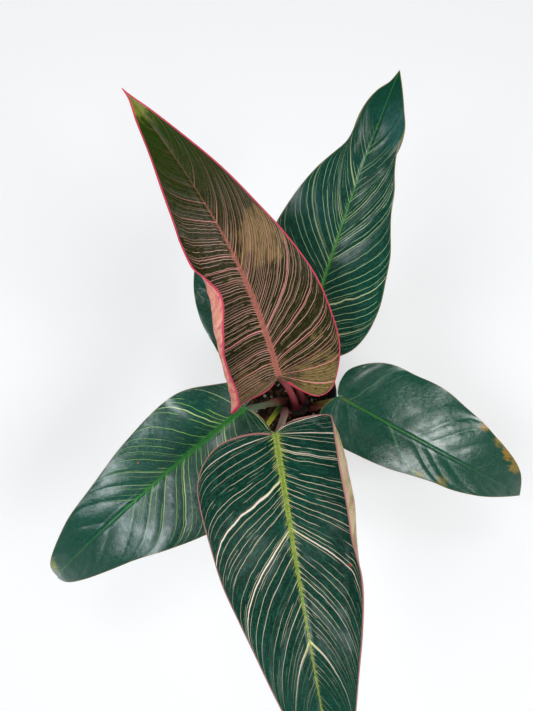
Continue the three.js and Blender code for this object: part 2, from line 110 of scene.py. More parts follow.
def turned(profile, sides=POT_SIDES):
    """Points of a profile of radius and height carried round the Z axis."""
    r, z = np.array(profile, float).T[:, :, None]
    angle = np.linspace(0, 2 * np.pi, sides, endpoint=False)[None]
    return np.stack([r * np.cos(angle), r * np.sin(angle), z + 0 * angle], -1).reshape(-1, 3)


def joined(parts):
    """One list of points and one of quads from several (points, quads) pairs."""
    starts = np.cumsum([0] + [len(points) for points, _ in parts[:-1]])
    return (
        np.concatenate([points for points, _ in parts]),
        np.concatenate([faces + start for (_, faces), start in zip(parts, starts)]),
    )


def arc(centre, radius, first, last, count=6):
    """Profile points on a circle between two angles in degrees."""
    angle = np.radians(np.linspace(first, last, count))
    return list(zip(centre[0] + radius * np.cos(angle), centre[1] + radius * np.sin(angle)))


band_radius = wall_radius(BAND_LOW) + RIM_STEP
pot_wall = (
    [(DRAIN_RING[1], RAISED_UNDERSIDE), (30.4, 2.1), (31.0, 0.4), (31.6, 0.0), (36.2, 0.0)]
    + arc((36.7, 1.5), 1.5, -90, -6)
    + [(wall_radius(z), z) for z in np.linspace(2.4, 77.6, 24)]
    + [(wall_radius(78.4) + 0.15, 78.4), (wall_radius(79.4) + 0.8, 79.4), (band_radius - 0.7, 80.4)]
    + [(band_radius - 0.1, 81.0), (band_radius + 0.02, 81.7), (band_radius + 0.1, 83.0)]
    + [(band_radius + 0.25, 86.0), (49.45, 88.5)]
    + arc((49.3, 89.35), 0.65, -45, 175, 9)
    + [(48.4, 88.6), (band_radius - WALL, 82.6), (band_radius - WALL - 0.3, 81.6)]
    + [(wall_radius(79.4) - WALL + 0.2, 79.8), (wall_radius(78.0) - WALL, 78.4)]
    + [(wall_radius(z) - WALL, z) for z in np.linspace(76.0, 6.0, 12)]
    + arc((wall_radius(5.0) - WALL - 1.2, FLOOR_TOP + 1.2), 1.2, 0, -90)
    + [(DRAIN_RING[1], FLOOR_TOP)]
)
under_disc = [(0.0, 0.0), (8.0, 0.0), (15.6, 0.0), (16.3, 0.4), (16.7, 2.1)]
under_disc += [(DRAIN_RING[0], RAISED_UNDERSIDE)]
floor_disc = [(DRAIN_RING[0], FLOOR_TOP), (8.0, FLOOR_TOP), (0.0, FLOOR_TOP)]


def drain_ring():
    """The raised ring as sectors. Each sector's outline shrinks in even steps onto its drainage
    hole, once underneath and once on top, and a short wall joins the two circles."""
    near, far = DRAIN_RING
    per_sector = POT_SIDES // DRAIN_COUNT
    sector = 2 * np.pi / DRAIN_COUNT
    sweep = np.linspace(0, sector, per_sector + 1)
    climb = np.linspace(near, far, SPOKE_STEPS + 1)
    angle = np.concatenate([sweep[:-1], np.full(SPOKE_STEPS, sector), sweep[:0:-1], np.zeros(SPOKE_STEPS)])
    radius = np.concatenate([np.full(per_sector, near), climb[:-1], np.full(per_sector, far), climb[:0:-1]])
    outline = np.stack([radius * np.cos(angle), radius * np.sin(angle)], -1)
    centre = DRAIN_CENTRE * np.array([np.cos(sector / 2), np.sin(sector / 2)])
    spoke = outline - centre
    hole = centre + DRAIN_RADIUS * spoke / np.linalg.norm(spoke, axis=1, keepdims=True)
    share = np.linspace(0, 1, HOLE_ROWS)[:, None, None]
    flat = (1 - share) * outline + share * hole
    underneath = np.dstack([flat, np.full(flat.shape[:2], RAISED_UNDERSIDE)])
    on_top = np.dstack([flat[::-1], np.full(flat.shape[:2], FLOOR_TOP)])
    rows = np.concatenate([underneath, on_top])
    faces = grid_faces(len(rows), rows.shape[1], wrap=True)
    parts = []
    for k in range(DRAIN_COUNT):
        c, s = np.cos(k * sector), np.sin(k * sector)
        parts.append((rows.reshape(-1, 3) @ np.array([[c, s, 0], [-s, c, 0], [0, 0, 1]]), faces))
    return joined(parts)


pot_points, pot_faces = joined(
    [(turned(p), grid_faces(len(p), POT_SIDES, wrap=True)) for p in (under_disc, pot_wall, floor_disc)]
    + [drain_ring()]
)
nursery_pot = make_piece("nursery_pot_shell", pot_points, pot_faces, weld=0.01, sharp=40)
shape = bmesh.new()
shape.from_mesh(nursery_pot.data)
bmesh.ops.recalc_face_normals(shape, faces=shape.faces)
shape.to_mesh(nursery_pot.data)
shape.free()


class Wire:
    """A shader socket in an expression: each operator adds a Math node to its tree."""

    def __init__(self, socket):
        self.socket = socket

    def node(self, kind, settings, values, out=0):
        """A node of any kind in the same tree: its settings first, then values or links."""
        new = self.socket.id_data.nodes.new("ShaderNode" + kind)
        for key, value in settings.items():
            setattr(new, key, value)
        for key, value in values.items():
            if isinstance(value, Wire):
                self.socket.id_data.links.new(value.socket, new.inputs[key])
            else:
                new.inputs[key].default_value = value
        return Wire(new.outputs[out])

    def math(self, operation, *others):
        """A Math node on this value and others."""
        return self.node("Math", {"operation": operation}, dict(enumerate((self, *others))))

    def __add__(self, other):
        return self.math("ADD", other)

    def __sub__(self, other):
        return self.math("SUBTRACT", other)

    def __rsub__(self, other):
        return self.node("Math", {"operation": "SUBTRACT"}, {0: other, 1: self})

    def __mul__(self, other):
        return self.math("MULTIPLY", other)

    def __truediv__(self, other):
        return self.math("DIVIDE", other)

    def __pow__(self, other):
        return self.math("POWER", other)

    def __abs__(self):
        return self.math("ABSOLUTE")

    __radd__ = __add__
    __rmul__ = __mul__

    def step(self, low, high):
        """0 at low, 1 at high and smooth between them; low may be the larger one."""
        settings = {"interpolation_type": "SMOOTHSTEP"}
        return self.node("MapRange", settings, {"Value": self, "From Min": low, "From Max": high})

    def blend(self, a, b):
        """Colour a where this mask is 0 and colour b where it is 1; each a wire or a screen colour."""
        a, b = (paint(colour) if isinstance(colour, str) else colour for colour in (a, b))
        return self.node("Mix", {"data_type": "RGBA"}, {0: self, 6: a, 7: b}, out=2)

    def part(self, index):
        """One of the three numbers of this vector."""
        return self.node("SeparateXYZ", {}, {0: self}, out=index)

    def noise(self, scale, detail=2.0, roughness=0.5, stretch=None):
        """Soft noise from 0 to 1 over this vector, which stretch scales along each axis first."""
        where = self
        if stretch is not None:
            where = self.node("VectorMath", {"operation": "MULTIPLY"}, {0: self, 1: stretch})
        values = {"Vector": where, "Scale": scale, "Detail": detail, "Roughness": roughness}
        return self.node("TexNoise", {}, values)

    def nearest(self):
        """Distance from this number to the nearest of a row of uneven points, and a random number
        from 0 to 1 that belongs to that point."""
        values = {"W": self, "Scale": 1.0, "Randomness": 0.85}
        settings = {"voronoi_dimensions": "1D"}
        near, hue = (self.node("TexVoronoi", settings, values, out=index) for index in (0, 1))
        return near, self.node("SeparateColor", {}, {0: hue})

    def bump(self, distance, strength=1.0):
        """The normal that this height gives, at a distance in metres for a height of 1."""
        return self.node("Bump", {}, {"Height": self, "Distance": distance, "Strength": strength})


def paint(code):
    """Linear colour of a screen colour written as six hexadecimal digits."""
    screen = np.array([int(code[k : k + 2], 16) for k in (0, 2, 4)]) / 255
    linear = np.where(screen <= 0.04045, screen / 12.92, ((screen + 0.055) / 1.055) ** 2.4)
    return (*linear.tolist(), 1.0)


def finish(name, constants):
    """A new material, the object's own coordinates and a function that links what varies."""
    material = bpy.data.materials.new(name)
    material.use_nodes = True
    tree = material.node_tree
    shader = tree.nodes["Principled BSDF"]
    for key, value in constants.items():
        shader.inputs[key].default_value = value

    def feed(**wires):
        for key, wire in wires.items():
            tree.links.new(wire.socket, shader.inputs[key.replace("_", " ")])

    return material, Wire(tree.nodes.new("ShaderNodeTexCoord").outputs["Object"]), feed


black_plastic, where, feed = finish("black_polypropylene", {"IOR": 1.49, "Specular IOR Level": 0.5})
height = where.part(2)
cloud = where.noise(60, 3)
grain = where.noise(2600, 2)
scuffs = where.noise(90, 5, 0.7, stretch=(1.0, 1.0, 6.0)).step(0.6, 0.72)
dusty = height.step(0.074, 0.09) * 0.5 + height.step(0.016, 0.0) * 0.6
dust = dusty * where.noise(170, 4, 0.65).step(0.42, 0.72)
plastic = (scuffs * 0.25).blend(cloud.blend("101113", "1c1d20"), "4a4a4c")
feed(
    Base_Color=(dust * 0.7).blend(plastic, "6d6157"),
    Roughness=0.34 + cloud * 0.14 + scuffs * 0.15 + dust * 0.3,
    Normal=(grain * 0.6 + where.noise(22, 1) * 0.8).bump(0.0002, 0.35),
)
nursery_pot.data.materials.append(black_plastic)
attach(nursery_pot, "root")
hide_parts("nursery_pot")


# Potting mix
# Dark fine peat and coir that fills the pot to just under the rim band. It is poured in, settles
# in clods, and rises a little towards the stem.

SOIL_TOP = 79.0
SOIL_GAP = 1.75
SOIL_RINGS, SOIL_SIDES = 76, 216
CROWN = np.array([15.0, -9.0])


def clods(x, y):
    """Height of the crumbs: a sum of sine waves in turned directions, each shorter and lower."""
    total = np.zeros_like(x)
    for k in range(9):
        turn, wave = 2.4 * k + 0.6, 17.0 / 1.42**k
        phase = (x * np.cos(turn) + y * np.sin(turn)) * 2 * np.pi / wave
        total += 0.6 / 1.22**k * np.sin(phase + 1.7 * k + 0.9 * np.sin(phase * 0.37 + k))
    return total


def soil_height(x, y):
    """Top of the mix: a low mound, lower at the wall, with clods all over."""
    r = np.hypot(x, y)
    return SOIL_TOP - 1.0 - 1.3 * (r / 45) ** 4 + 0.55 * clods(x, y)


wall_reach = wall_radius(77.0) - SOIL_GAP
rings = np.concatenate([np.linspace(0, 1, SOIL_RINGS) ** 0.8 * (wall_reach - 0.5), [wall_reach - 0.15]])
bearings = np.linspace(0, 2 * np.pi, SOIL_SIDES, endpoint=False)
r, a = np.meshgrid(rings, bearings, indexing="ij")
x, y = r * np.cos(a), r * np.sin(a)
top = np.dstack([x, y, soil_height(x, y)])
top[-1, :, 2] -= 0.8
side = [(wall_radius(z) - SOIL_GAP, z) for z in (75.5, 60.0, 40.0, 20.0, 6.4)]
side += [(wall_radius(5.0) - 3.4, 4.5), (20.0, 4.4), (0.0, 4.4)]
soil = np.concatenate([top.reshape(-1, 3), turned(side, SOIL_SIDES)])
soil_faces = grid_faces(len(rings) + len(side), SOIL_SIDES, wrap=True)[:, ::-1]
potting_mix = make_piece("potting_mix_fill", soil, soil_faces)

mix, where, feed = finish("peat_and_coir", {"Specular IOR Level": 0.25})
crumbs = where.noise(420, 6, 0.7)
fibre = where.noise(300, 3, 0.6, stretch=(1.0, 0.25, 1.0)).step(0.6, 0.66)
earth = crumbs.step(0.34, 0.7).blend("0f0a07", "3a281b")
earth = (where.noise(60, 3).step(0.4, 0.7) * 0.5).blend(earth, "20160f")
feed(
    Base_Color=(fibre * 0.55).blend(earth, "6b4a2f"),
    Roughness=0.8 + crumbs * 0.2,
    Normal=(crumbs + fibre * 0.3).bump(0.0012, 0.9),
)
potting_mix.data.materials.append(mix)
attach(potting_mix, "root")
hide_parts("potting_soil")


# Bark chips and perlite
# Loose on and in the top of the mix: flat flakes of composted bark, and white perlite, which is
# volcanic glass puffed by heat into light round-cornered grains.

rng = np.random.default_rng(41)
GRAIN_ROWS, GRAIN_SIDES = 6, 8
GRAIN_REACH = 42.5
STEM_GAP = 13.0


def swung(points, first, second, angle):
    """Grains turned by one angle each, from the first axis towards the second."""
    c, s = np.cos(angle)[:, None, None], np.sin(angle)[:, None, None]
    out = points.copy()
    out[..., first] = points[..., first] * c - points[..., second] * s
    out[..., second] = points[..., first] * s + points[..., second] * c
    return out


def pebbles(count, sizes, squareness, sink, roughness, tilt):
    """Grains as rounded boxes: sines and cosines of two angles raised to a power, scaled to three
    sizes, dented by a few waves, turned, and set on the surface of the mix."""

    def squared(w):
        return np.sign(w) * np.abs(w) ** squareness

    rise = np.linspace(-np.pi / 2, np.pi / 2, GRAIN_ROWS)
    v, u = np.meshgrid(rise, np.linspace(0, 2 * np.pi, GRAIN_SIDES, endpoint=False), indexing="ij")
    waist = squared(np.cos(v))
    ball = np.stack([waist * squared(np.cos(u)), waist * squared(np.sin(u)), squared(np.sin(v))], -1)
    size = rng.uniform(*np.array(sizes).T, (count, 3))
    dents = rng.normal(0, 2.2, (count, 3, 3))
    phase = rng.uniform(0, 6, (count, 1, 1, 3))
    wave = np.sin(np.einsum("ijk,nkl->nijl", ball, dents) * 2.0 + phase).sum(-1)
    grains = ball[None] * size[:, None, None, :] * (1 + roughness * wave[..., None] / 3)
    grains = swung(grains, 0, 2, rng.normal(0, tilt, count))
    grains = swung(grains, 0, 1, rng.uniform(0, 2 * np.pi, count))
    ring = GRAIN_REACH * np.sqrt(rng.uniform(0.0, 1, count))
    bearing = rng.uniform(0, 2 * np.pi, count)
    place = np.stack([ring * np.cos(bearing), ring * np.sin(bearing)], -1)
    away = place - CROWN
    gap = np.linalg.norm(away, axis=1)[:, None]
    place = np.where(gap < STEM_GAP, CROWN + away / gap * (STEM_GAP + 0.3 * gap), place)
    z = soil_height(place[:, 0], place[:, 1]) + sink * size[:, 2]
    grains += np.concatenate([place, z[:, None]], 1)[:, None, None, :]
    faces = grid_faces(GRAIN_ROWS, GRAIN_SIDES, wrap=True)
    return joined([(grain.reshape(-1, 3), faces) for grain in grains])


flakes = pebbles(
    300, [(1.0, 3.4), (0.7, 2.0), (0.3, 0.9)], squareness=0.7, sink=0.5, roughness=0.35, tilt=0.28
)
bark = make_piece("bark_chips", *flakes, sharp=50)
bark_look, where, feed = finish("composted_bark", {"Specular IOR Level": 0.3})
layers = where.noise(500, 4, 0.6, stretch=(1.0, 1.0, 3.0))
tone = where.noise(140, 1).step(0.35, 0.65)
brown = layers.step(0.35, 0.65).blend("1d130c", "4b3222")
feed(
    Base_Color=(tone * 0.5).blend(brown, "6a4a34"),
    Roughness=0.75 + layers * 0.2,
    Normal=layers.bump(0.0005, 0.8),
)
bark.data.materials.append(bark_look)
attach(bark, "root")

puffs = pebbles(
    80, [(0.7, 2.0), (0.6, 1.7), (0.5, 1.3)], squareness=0.9, sink=0.35, roughness=0.3, tilt=0.6
)
perlite = make_piece("perlite_grains", *puffs)
perlite_look, where, feed = finish("puffed_perlite", {"Specular IOR Level": 0.4})
pores = where.noise(1500, 3, 0.6)
stain = where.noise(300, 2).step(0.5, 0.75)
chalk = pores.step(0.3, 0.6).blend("97938a", "cdc9c0")
feed(
    Base_Color=(stain * 0.5).blend(chalk, "8d7a66"),
    Roughness=0.75 + pores * 0.15,
    Normal=pores.bump(0.0004, 0.8),
)
perlite.data.materials.append(perlite_look)
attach(perlite, "root")


# Crown
# The short thick stem that stands on the mix and carries every petiole, dark brown with a tinge of
# olive, ringed by the scars of earlier leaves, with the nubs of a few aerial roots.

CROWN_FOOT = 79.3
CROWN_HEIGHT = 18.7
CROWN_RADIUS = 9.2
SHOULDER = 0.72
CROWN_ROWS, CROWN_SIDES = 60, 96
LEAF_SCARS = (0.16, 0.36, 0.55, 0.74)
ROOT_NUBS = ((0.4, 0.2), (2.2, 0.42), (3.9, 0.28), (5.2, 0.6), (1.3, 0.66))


def hump(distance, width):
    """A bell curve: 1 at distance 0, and the inverse of e at a distance of one width."""
    return np.exp(-((distance / width) ** 2))


round_crown = np.linspace(0, 2 * np.pi, CROWN_SIDES, endpoint=False)
share, around = np.meshgrid(np.linspace(0, 1, CROWN_ROWS), round_crown, indexing="ij")
crest = np.clip((share - SHOULDER) / (1 - SHOULDER), 0, 1) * np.pi / 2
climb = np.minimum(share / SHOULDER, 1)
z = CROWN_FOOT + CROWN_HEIGHT * (0.78 * climb + 0.22 * np.sin(crest))
radius = CROWN_RADIUS + 1.2 * hump(share, 0.12)
for k, scar in enumerate(LEAF_SCARS):
    past = share - scar - 0.05 * np.sin(around + 2.1 * k)
    radius = radius + 0.55 * hump(past, 0.022) - 0.3 * hump(past - 0.045, 0.03)
for bearing, low in ROOT_NUBS:
    off = (around - bearing + np.pi) % (2 * np.pi) - np.pi
    radius = radius + 1.5 * hump(off, 0.16) * hump(share - low, 0.055)
radius = radius + 0.12 * np.sin(around * 23 + 4 * np.sin(share * 9)) * (1 - share)
radius = radius * np.cos(crest) * (1 + 0.06 * np.sin(around * 5 + 3 * share) * np.sin(crest))
radius[0] = 0
crown_points = np.dstack([CROWN[0] + radius * np.cos(around), CROWN[1] + radius * np.sin(around), z])
crown_faces = grid_faces(CROWN_ROWS, CROWN_SIDES, wrap=True)
crown = make_piece("crown_stem_bark", crown_points.reshape(-1, 3), crown_faces, sharp=60)

stem, where, feed = finish("olive_stem_skin", {"Specular IOR Level": 0.25})
skin = where.noise(240, 4, 0.6, stretch=(1.0, 1.0, 0.35))
cork = where.noise(120, 4, 0.7).step(0.48, 0.62)
bark_tone = (cork * 0.7).blend(skin.step(0.3, 0.7).blend("241910", "38301c"), "4a3426")
feed(
    # The top above 95 mm is painted a darker red-brown: painted shade from the petioles and leaves over it.
    Base_Color=where.part(2).step(0.09, 0.095).blend(bark_tone, "241210"),
    Roughness=0.5 + cork * 0.3,
    Normal=(skin + cork * 0.5).bump(0.0004, 0.7),
)
crown.data.materials.append(stem)
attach(crown, "root")
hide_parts("crown_stem")


# Youngest leaf: the pink blade
# A leaf that has just unrolled, brown-green under a dense comb of pink veins, with a crimson
# margin. Its left margin still rolls over. A blade is one thin sheet that grows from the top of
# its petiole, so each recipe gives the midrib's course and the outline of both halves when flat.

HALF_THICKNESS = 0.28
ROWS, COLUMNS = 220, 36
# The share of the veins that fan out into the lobe, and the angle at which the rearmost one leaves.
FAN = 0.2
LOBE_TURN = 165
# Steps of the section's arc, and the length over which it turns by arch.
ARC_STEPS = 40
ARCH_SPAN = 40.0
# The midrib's course is worked out ahead of the junction, and some way behind it for the lobes.
MIDRIB_POINTS = 161
BEHIND, BEHIND_STEPS = 45.0, 24
# How steeply the two sheets part from the notch and from the tip, by the share of veins passed.
NOTCH_OPENING, TIP_OPENING = 300, 30
# The flat map holds millimetres divided by this.
FLAT_UNIT = 100.0


def keyed(table, at):
    """Smooth value at a place in a table: a cubic through the keys that never overshoots them. A
    number in place of a table holds everywhere."""
    if isinstance(table, (int, float)):
        return table + 0 * at
    x, y = np.array(table, float).T
    at = np.clip(at, x[0], x[-1])
    h = np.diff(x)
    d = np.diff(y) / h
    w1, w2 = 2 * h[1:] + h[:-1], h[1:] + 2 * h[:-1]
    rising = d[:-1] * d[1:] > 0
    safe = np.where(d == 0, 1.0, d)
    inner = np.where(rising, (w1 + w2) / (w1 / safe[:-1] + w2 / safe[1:]), 0.0)
    m = np.concatenate([d[:1], inner, d[-1:]])
    i = np.clip(np.searchsorted(x, at, side="right") - 1, 0, len(h) - 1)
    s = (at - x[i]) / h[i]
    ends = y[i] * (1 + 2 * s) * (1 - s) ** 2 + y[i + 1] * s * s * (3 - 2 * s)
    return ends + h[i] * s * (1 - s) * (m[i] * (1 - s) - m[i + 1] * s)


def smooth_curve(points, count=24):
    """Points of a centripetal Catmull-Rom curve, count of them to each span: straight blends of
    neighbouring points by time are blended again, and once more, where the time between two points
    is the root of their distance."""
    p = np.array(points, float)
    q = np.concatenate([[2 * p[0] - p[1]], p, [2 * p[-1] - p[-2]]])
    gap = np.sqrt(np.linalg.norm(np.diff(q, axis=0), axis=1)).clip(1e-6)[:, None, None]
    q0, q1, q2, q3 = (q[k : len(q) - 3 + k, None] for k in range(4))
    t1, t2, t3 = np.cumsum([gap[k : len(gap) - 2 + k] for k in range(3)], axis=0)
    t = t1 + (t2 - t1) * np.linspace(0, 1, count, endpoint=False)[None, :, None]
    a1 = (t1 - t) / t1 * q0 + t / t1 * q1
    a2 = (t2 - t) / (t2 - t1) * q1 + (t - t1) / (t2 - t1) * q2
    a3 = (t3 - t) / (t3 - t2) * q2 + (t - t2) / (t3 - t2) * q3
    b1 = (t2 - t) / t2 * a1 + t / t2 * a2
    b2 = (t3 - t) / (t3 - t1) * a2 + (t - t1) / (t3 - t1) * a3
    curve = (t2 - t) / (t2 - t1) * b1 + (t - t1) / (t2 - t1) * b2
    return np.concatenate([curve.reshape(-1, p.shape[1]), p[-1:]])


def lengths(curve):
    """Length of a curve from its start to each of its points."""
    return np.concatenate([[0], np.cumsum(np.linalg.norm(np.diff(curve, axis=0), axis=1))])


def along_curve(curve, share):
    """Point of a curve at a share of its length."""
    length = lengths(curve)
    return np.stack([np.interp(share, length / length[-1], curve[:, k]) for k in range(curve.shape[1])], -1)


def midrib(leaf, y):
    """Frames of the midrib at distances y from the junction: the place, found by adding up short
    steps in the direction that heading, yaw and pitch give, that direction, the direction to the
    leaf's right side, and the one that the upper face looks."""
    behind = np.linspace(-BEHIND, 0, BEHIND_STEPS, endpoint=False)
    grid = np.concatenate([behind, np.linspace(0, leaf["length"], MIDRIB_POINTS)])
    heading = np.radians(leaf["heading"] + keyed(leaf["yaw"], grid / leaf["length"]))
    pitch = np.radians(keyed(leaf["pitch"], grid / leaf["length"]))
    along = np.stack([np.cos(heading) * np.cos(pitch), np.sin(heading) * np.cos(pitch), np.sin(pitch)], -1)
    side = np.stack([np.sin(heading), -np.cos(heading), 0 * heading], -1)
    up = np.cross(side, along)
    steps = np.diff(grid)[:, None] * (along[1:] + along[:-1]) / 2
    place = np.concatenate([np.zeros((1, 3)), np.cumsum(steps, 0)])
    place += np.array(leaf["junction"]) - place[BEHIND_STEPS]
    return [np.stack([np.interp(y, grid, v[:, k]) for k in range(3)], -1) for v in (place, along, side, up)]


def flat_veins(leaf, half, s, t):
    """Flat points (x out from the midrib, y along it) of the veins: s picks the vein, from 0 at the
    back of the lobe to 1 at the tip, and t runs along it from the midrib to the margin. A vein is
    a cubic curve that leaves the midrib at a sharp angle and ends along the margin; the veins of
    the lobe fan out of the junction. The ends table says how far round the margin a vein ends."""
    curve = smooth_curve(half["outline"])
    ends = keyed(half["ends"], s)
    end = along_curve(curve, ends)
    before, after = (along_curve(curve, np.clip(ends + shift, 0, 1)) for shift in (-0.012, 0.012))
    margin = after - before
    margin /= np.linalg.norm(margin, axis=-1, keepdims=True).clip(1e-9)
    start = np.stack([0 * s, leaf["length"] * np.clip((s - FAN) / (1 - FAN), 0, 1)], -1)
    reach = np.linalg.norm(end - start, axis=-1, keepdims=True)
    k = np.clip(s / (FAN * 1.3), 0, 1)[..., None]
    k = k * k * (3 - 2 * k)
    turn = np.radians(LOBE_TURN * (1 - k) + half["leave"] * k)
    p1 = start + np.concatenate([np.sin(turn), np.cos(turn)], -1) * 0.3 * reach
    p2 = end - margin * 0.4 * reach * k - (end - p1) * (1 - k) * 0.3
    t = t[..., None]
    return (1 - t) ** 3 * start + 3 * (1 - t) ** 2 * t * p1 + 3 * (1 - t) * t * t * p2 + t**3 * end


def half_width(half, y):
    """Distance from the midrib to the outer margin at y."""
    curve = smooth_curve(half["outline"])
    curve = curve[np.argmin(curve[:, 1]) :]
    order = np.argsort(curve[:, 1])
    return np.interp(y, curve[order, 1], curve[order, 0])


def margin_distance(half, x, y):
    """Distance from flat points to the nearest stretch of the outline: the point's offset from a
    stretch's start, less its part along the stretch, which is kept between the two ends."""
    curve = smooth_curve(half["outline"], 8)
    along = np.diff(curve, axis=0)
    offset = np.stack([x, y], -1)[..., None, :] - curve[:-1]
    share = np.clip((offset * along).sum(-1) / (along**2).sum(-1), 0, 1)
    return np.linalg.norm(offset - share[..., None] * along, axis=-1).min(-1)


def bent(leaf, half, sign, x, y, lift):
    """Bends flat points into place. The section across the midrib is an arc whose angle starts at
    fold, grows by arch over each ARCH_SPAN and rolls over by curl in the last strip before the
    margin. It is added up in short steps outwards. lift raises a point square off the sheet, and
    straight up at the midrib, so that both halves meet there."""
    share = y / leaf["length"]
    fold, arch, curl = (keyed(half[key], share) for key in ("fold", "arch", "curl"))
    width = half_width(half, y)
    strip = keyed(half["strip"], share) if "strip" in half else np.maximum(width, 1)
    out = np.zeros_like(x)
    rise = np.zeros_like(x)
    for k in range(ARC_STEPS + 1):
        at = x * min(1.0, (k + 0.5) / ARC_STEPS)
        inner = np.clip((at - (width - strip)) / strip, 0, 1.3)
        angle = np.radians(fold + arch * at / ARCH_SPAN + curl * inner * np.minimum(1, 2 * inner))
        if k < ARC_STEPS:
            out += np.cos(angle) * x / ARC_STEPS
            rise += np.sin(angle) * x / ARC_STEPS
    place, _, side, up = midrib(leaf, y)
    angle = angle * (1 - hump(x, 1.3))
    out = sign * (out - lift * np.sin(angle))
    return place + side * out[..., None] + up * (rise + lift * np.cos(angle))[..., None]


def rib_phase(s, count):
    """Counts the main veins along s: a vein lies where this passes a half, at uneven steps."""
    return count * s + 0.34 * np.sin(11.0 * s) + 0.22 * np.sin(23.0 * s + 1.0)


def blade(name, leaf, look):
    """One blade: for each half an upper and a lower sheet on a grid of veins, which meet at the
    margin and in the notch. The midrib is a groove above and a keel below, and the main veins are
    shallow furrows above and ribs below, with the tissue between them slightly raised."""
    q = np.linspace(0, 1, COLUMNS)
    q = q - 0.72 * np.sin(2 * np.pi * q) / (2 * np.pi)
    s, t = np.meshgrid(np.linspace(0, 1, ROWS), q, indexing="ij")
    sheets, veins, flats, margins, second = [], [], [], [], []
    for key, sign in (("right", 1.0), ("left", -1.0)):
        half = leaf[key]
        flat = flat_veins(leaf, half, s, t)
        x, y = flat[..., 0], flat[..., 1]
        reach = np.linalg.norm(flat[:, -1] - flat[:, 0], axis=-1)[:, None]
        ends = np.minimum(NOTCH_OPENING * s, TIP_OPENING * (1 - s))
        edge = np.minimum((1 - t) * reach, ends)
        edge[:, 0] = ends[:, 0]
        taper = np.clip(1 - y / leaf["length"], 0, 1)
        body = np.clip((y + 1.5) / 4.0, 0, 1) * taper**0.6
        phase = rib_phase(s, leaf["ribs"])
        off = np.abs(phase - np.floor(phase) - 0.5)
        inside = np.sin(np.pi * np.clip(t, 0, 1)) ** 0.6 * np.clip(taper * 4, 0, 1)
        furrow = hump(off, 0.12) * inside
        puff = 4.0 / leaf["ribs"] * (1 - hump(off, 0.3)) * inside * np.clip(taper * 1.8, 0, 1)
        wave = leaf["wave"] * np.sin(2 * np.pi * (y / 47.0 + 0.25 * sign + leaf["heading"])) * t**2.5
        close = np.sqrt(np.clip(1 - (1 - np.clip(edge / 0.5, 0, 1)) ** 2, 0, 1))
        bead = HALF_THICKNESS + 0.16 * hump(edge - 0.5, 0.55)
        groove = -0.3 * hump(x, 0.9) + 0.35 * hump(x - 2.2, 1.2)
        keel = leaf["keel"] * hump(x, 0.8 * leaf["keel"] + 0.35)
        for upper in (True, False):
            if upper:
                lift = wave + puff + close * (bead + groove * body - 0.14 * furrow)
            else:
                lift = wave + puff - close * (bead + keel * body + 0.22 * furrow)
            quads = grid_faces(ROWS, COLUMNS)
            outward = quads if upper == (sign > 0) else quads[:, ::-1]
            sheets.append((bent(leaf, half, sign, x, y, lift).reshape(-1, 3), outward))
            veins.append(np.stack([s + (sign < 0) * 2.0, t], -1).reshape(-1, 2))
            flats.append(np.stack([sign * x, y], -1).reshape(-1, 2) / FLAT_UNIT)
            margins.append(margin_distance(half, x, y).ravel())
            second.append(np.full(len(quads), 0 if upper else 1))
    maps = {"veins": np.concatenate(veins), "flat": np.concatenate(flats)}
    fields = {"margin": np.concatenate(margins)}
    second = np.concatenate(second)
    piece = make_piece(f"{name}_blade_leaf", *joined(sheets), maps, fields, second, weld=0.004)
    for material in blade_finish(f"{name}_leaf", leaf, look):
        piece.data.materials.append(material)
    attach(piece, "root")
    return piece


# What most looks share: how the fine lines break up, and how the midrib narrows and fades.
PLAIN_LOOK = dict(dash=2.0, core=0.3, midrib_power=1.6, midrib_stop=2, midrib_strength=0.9)


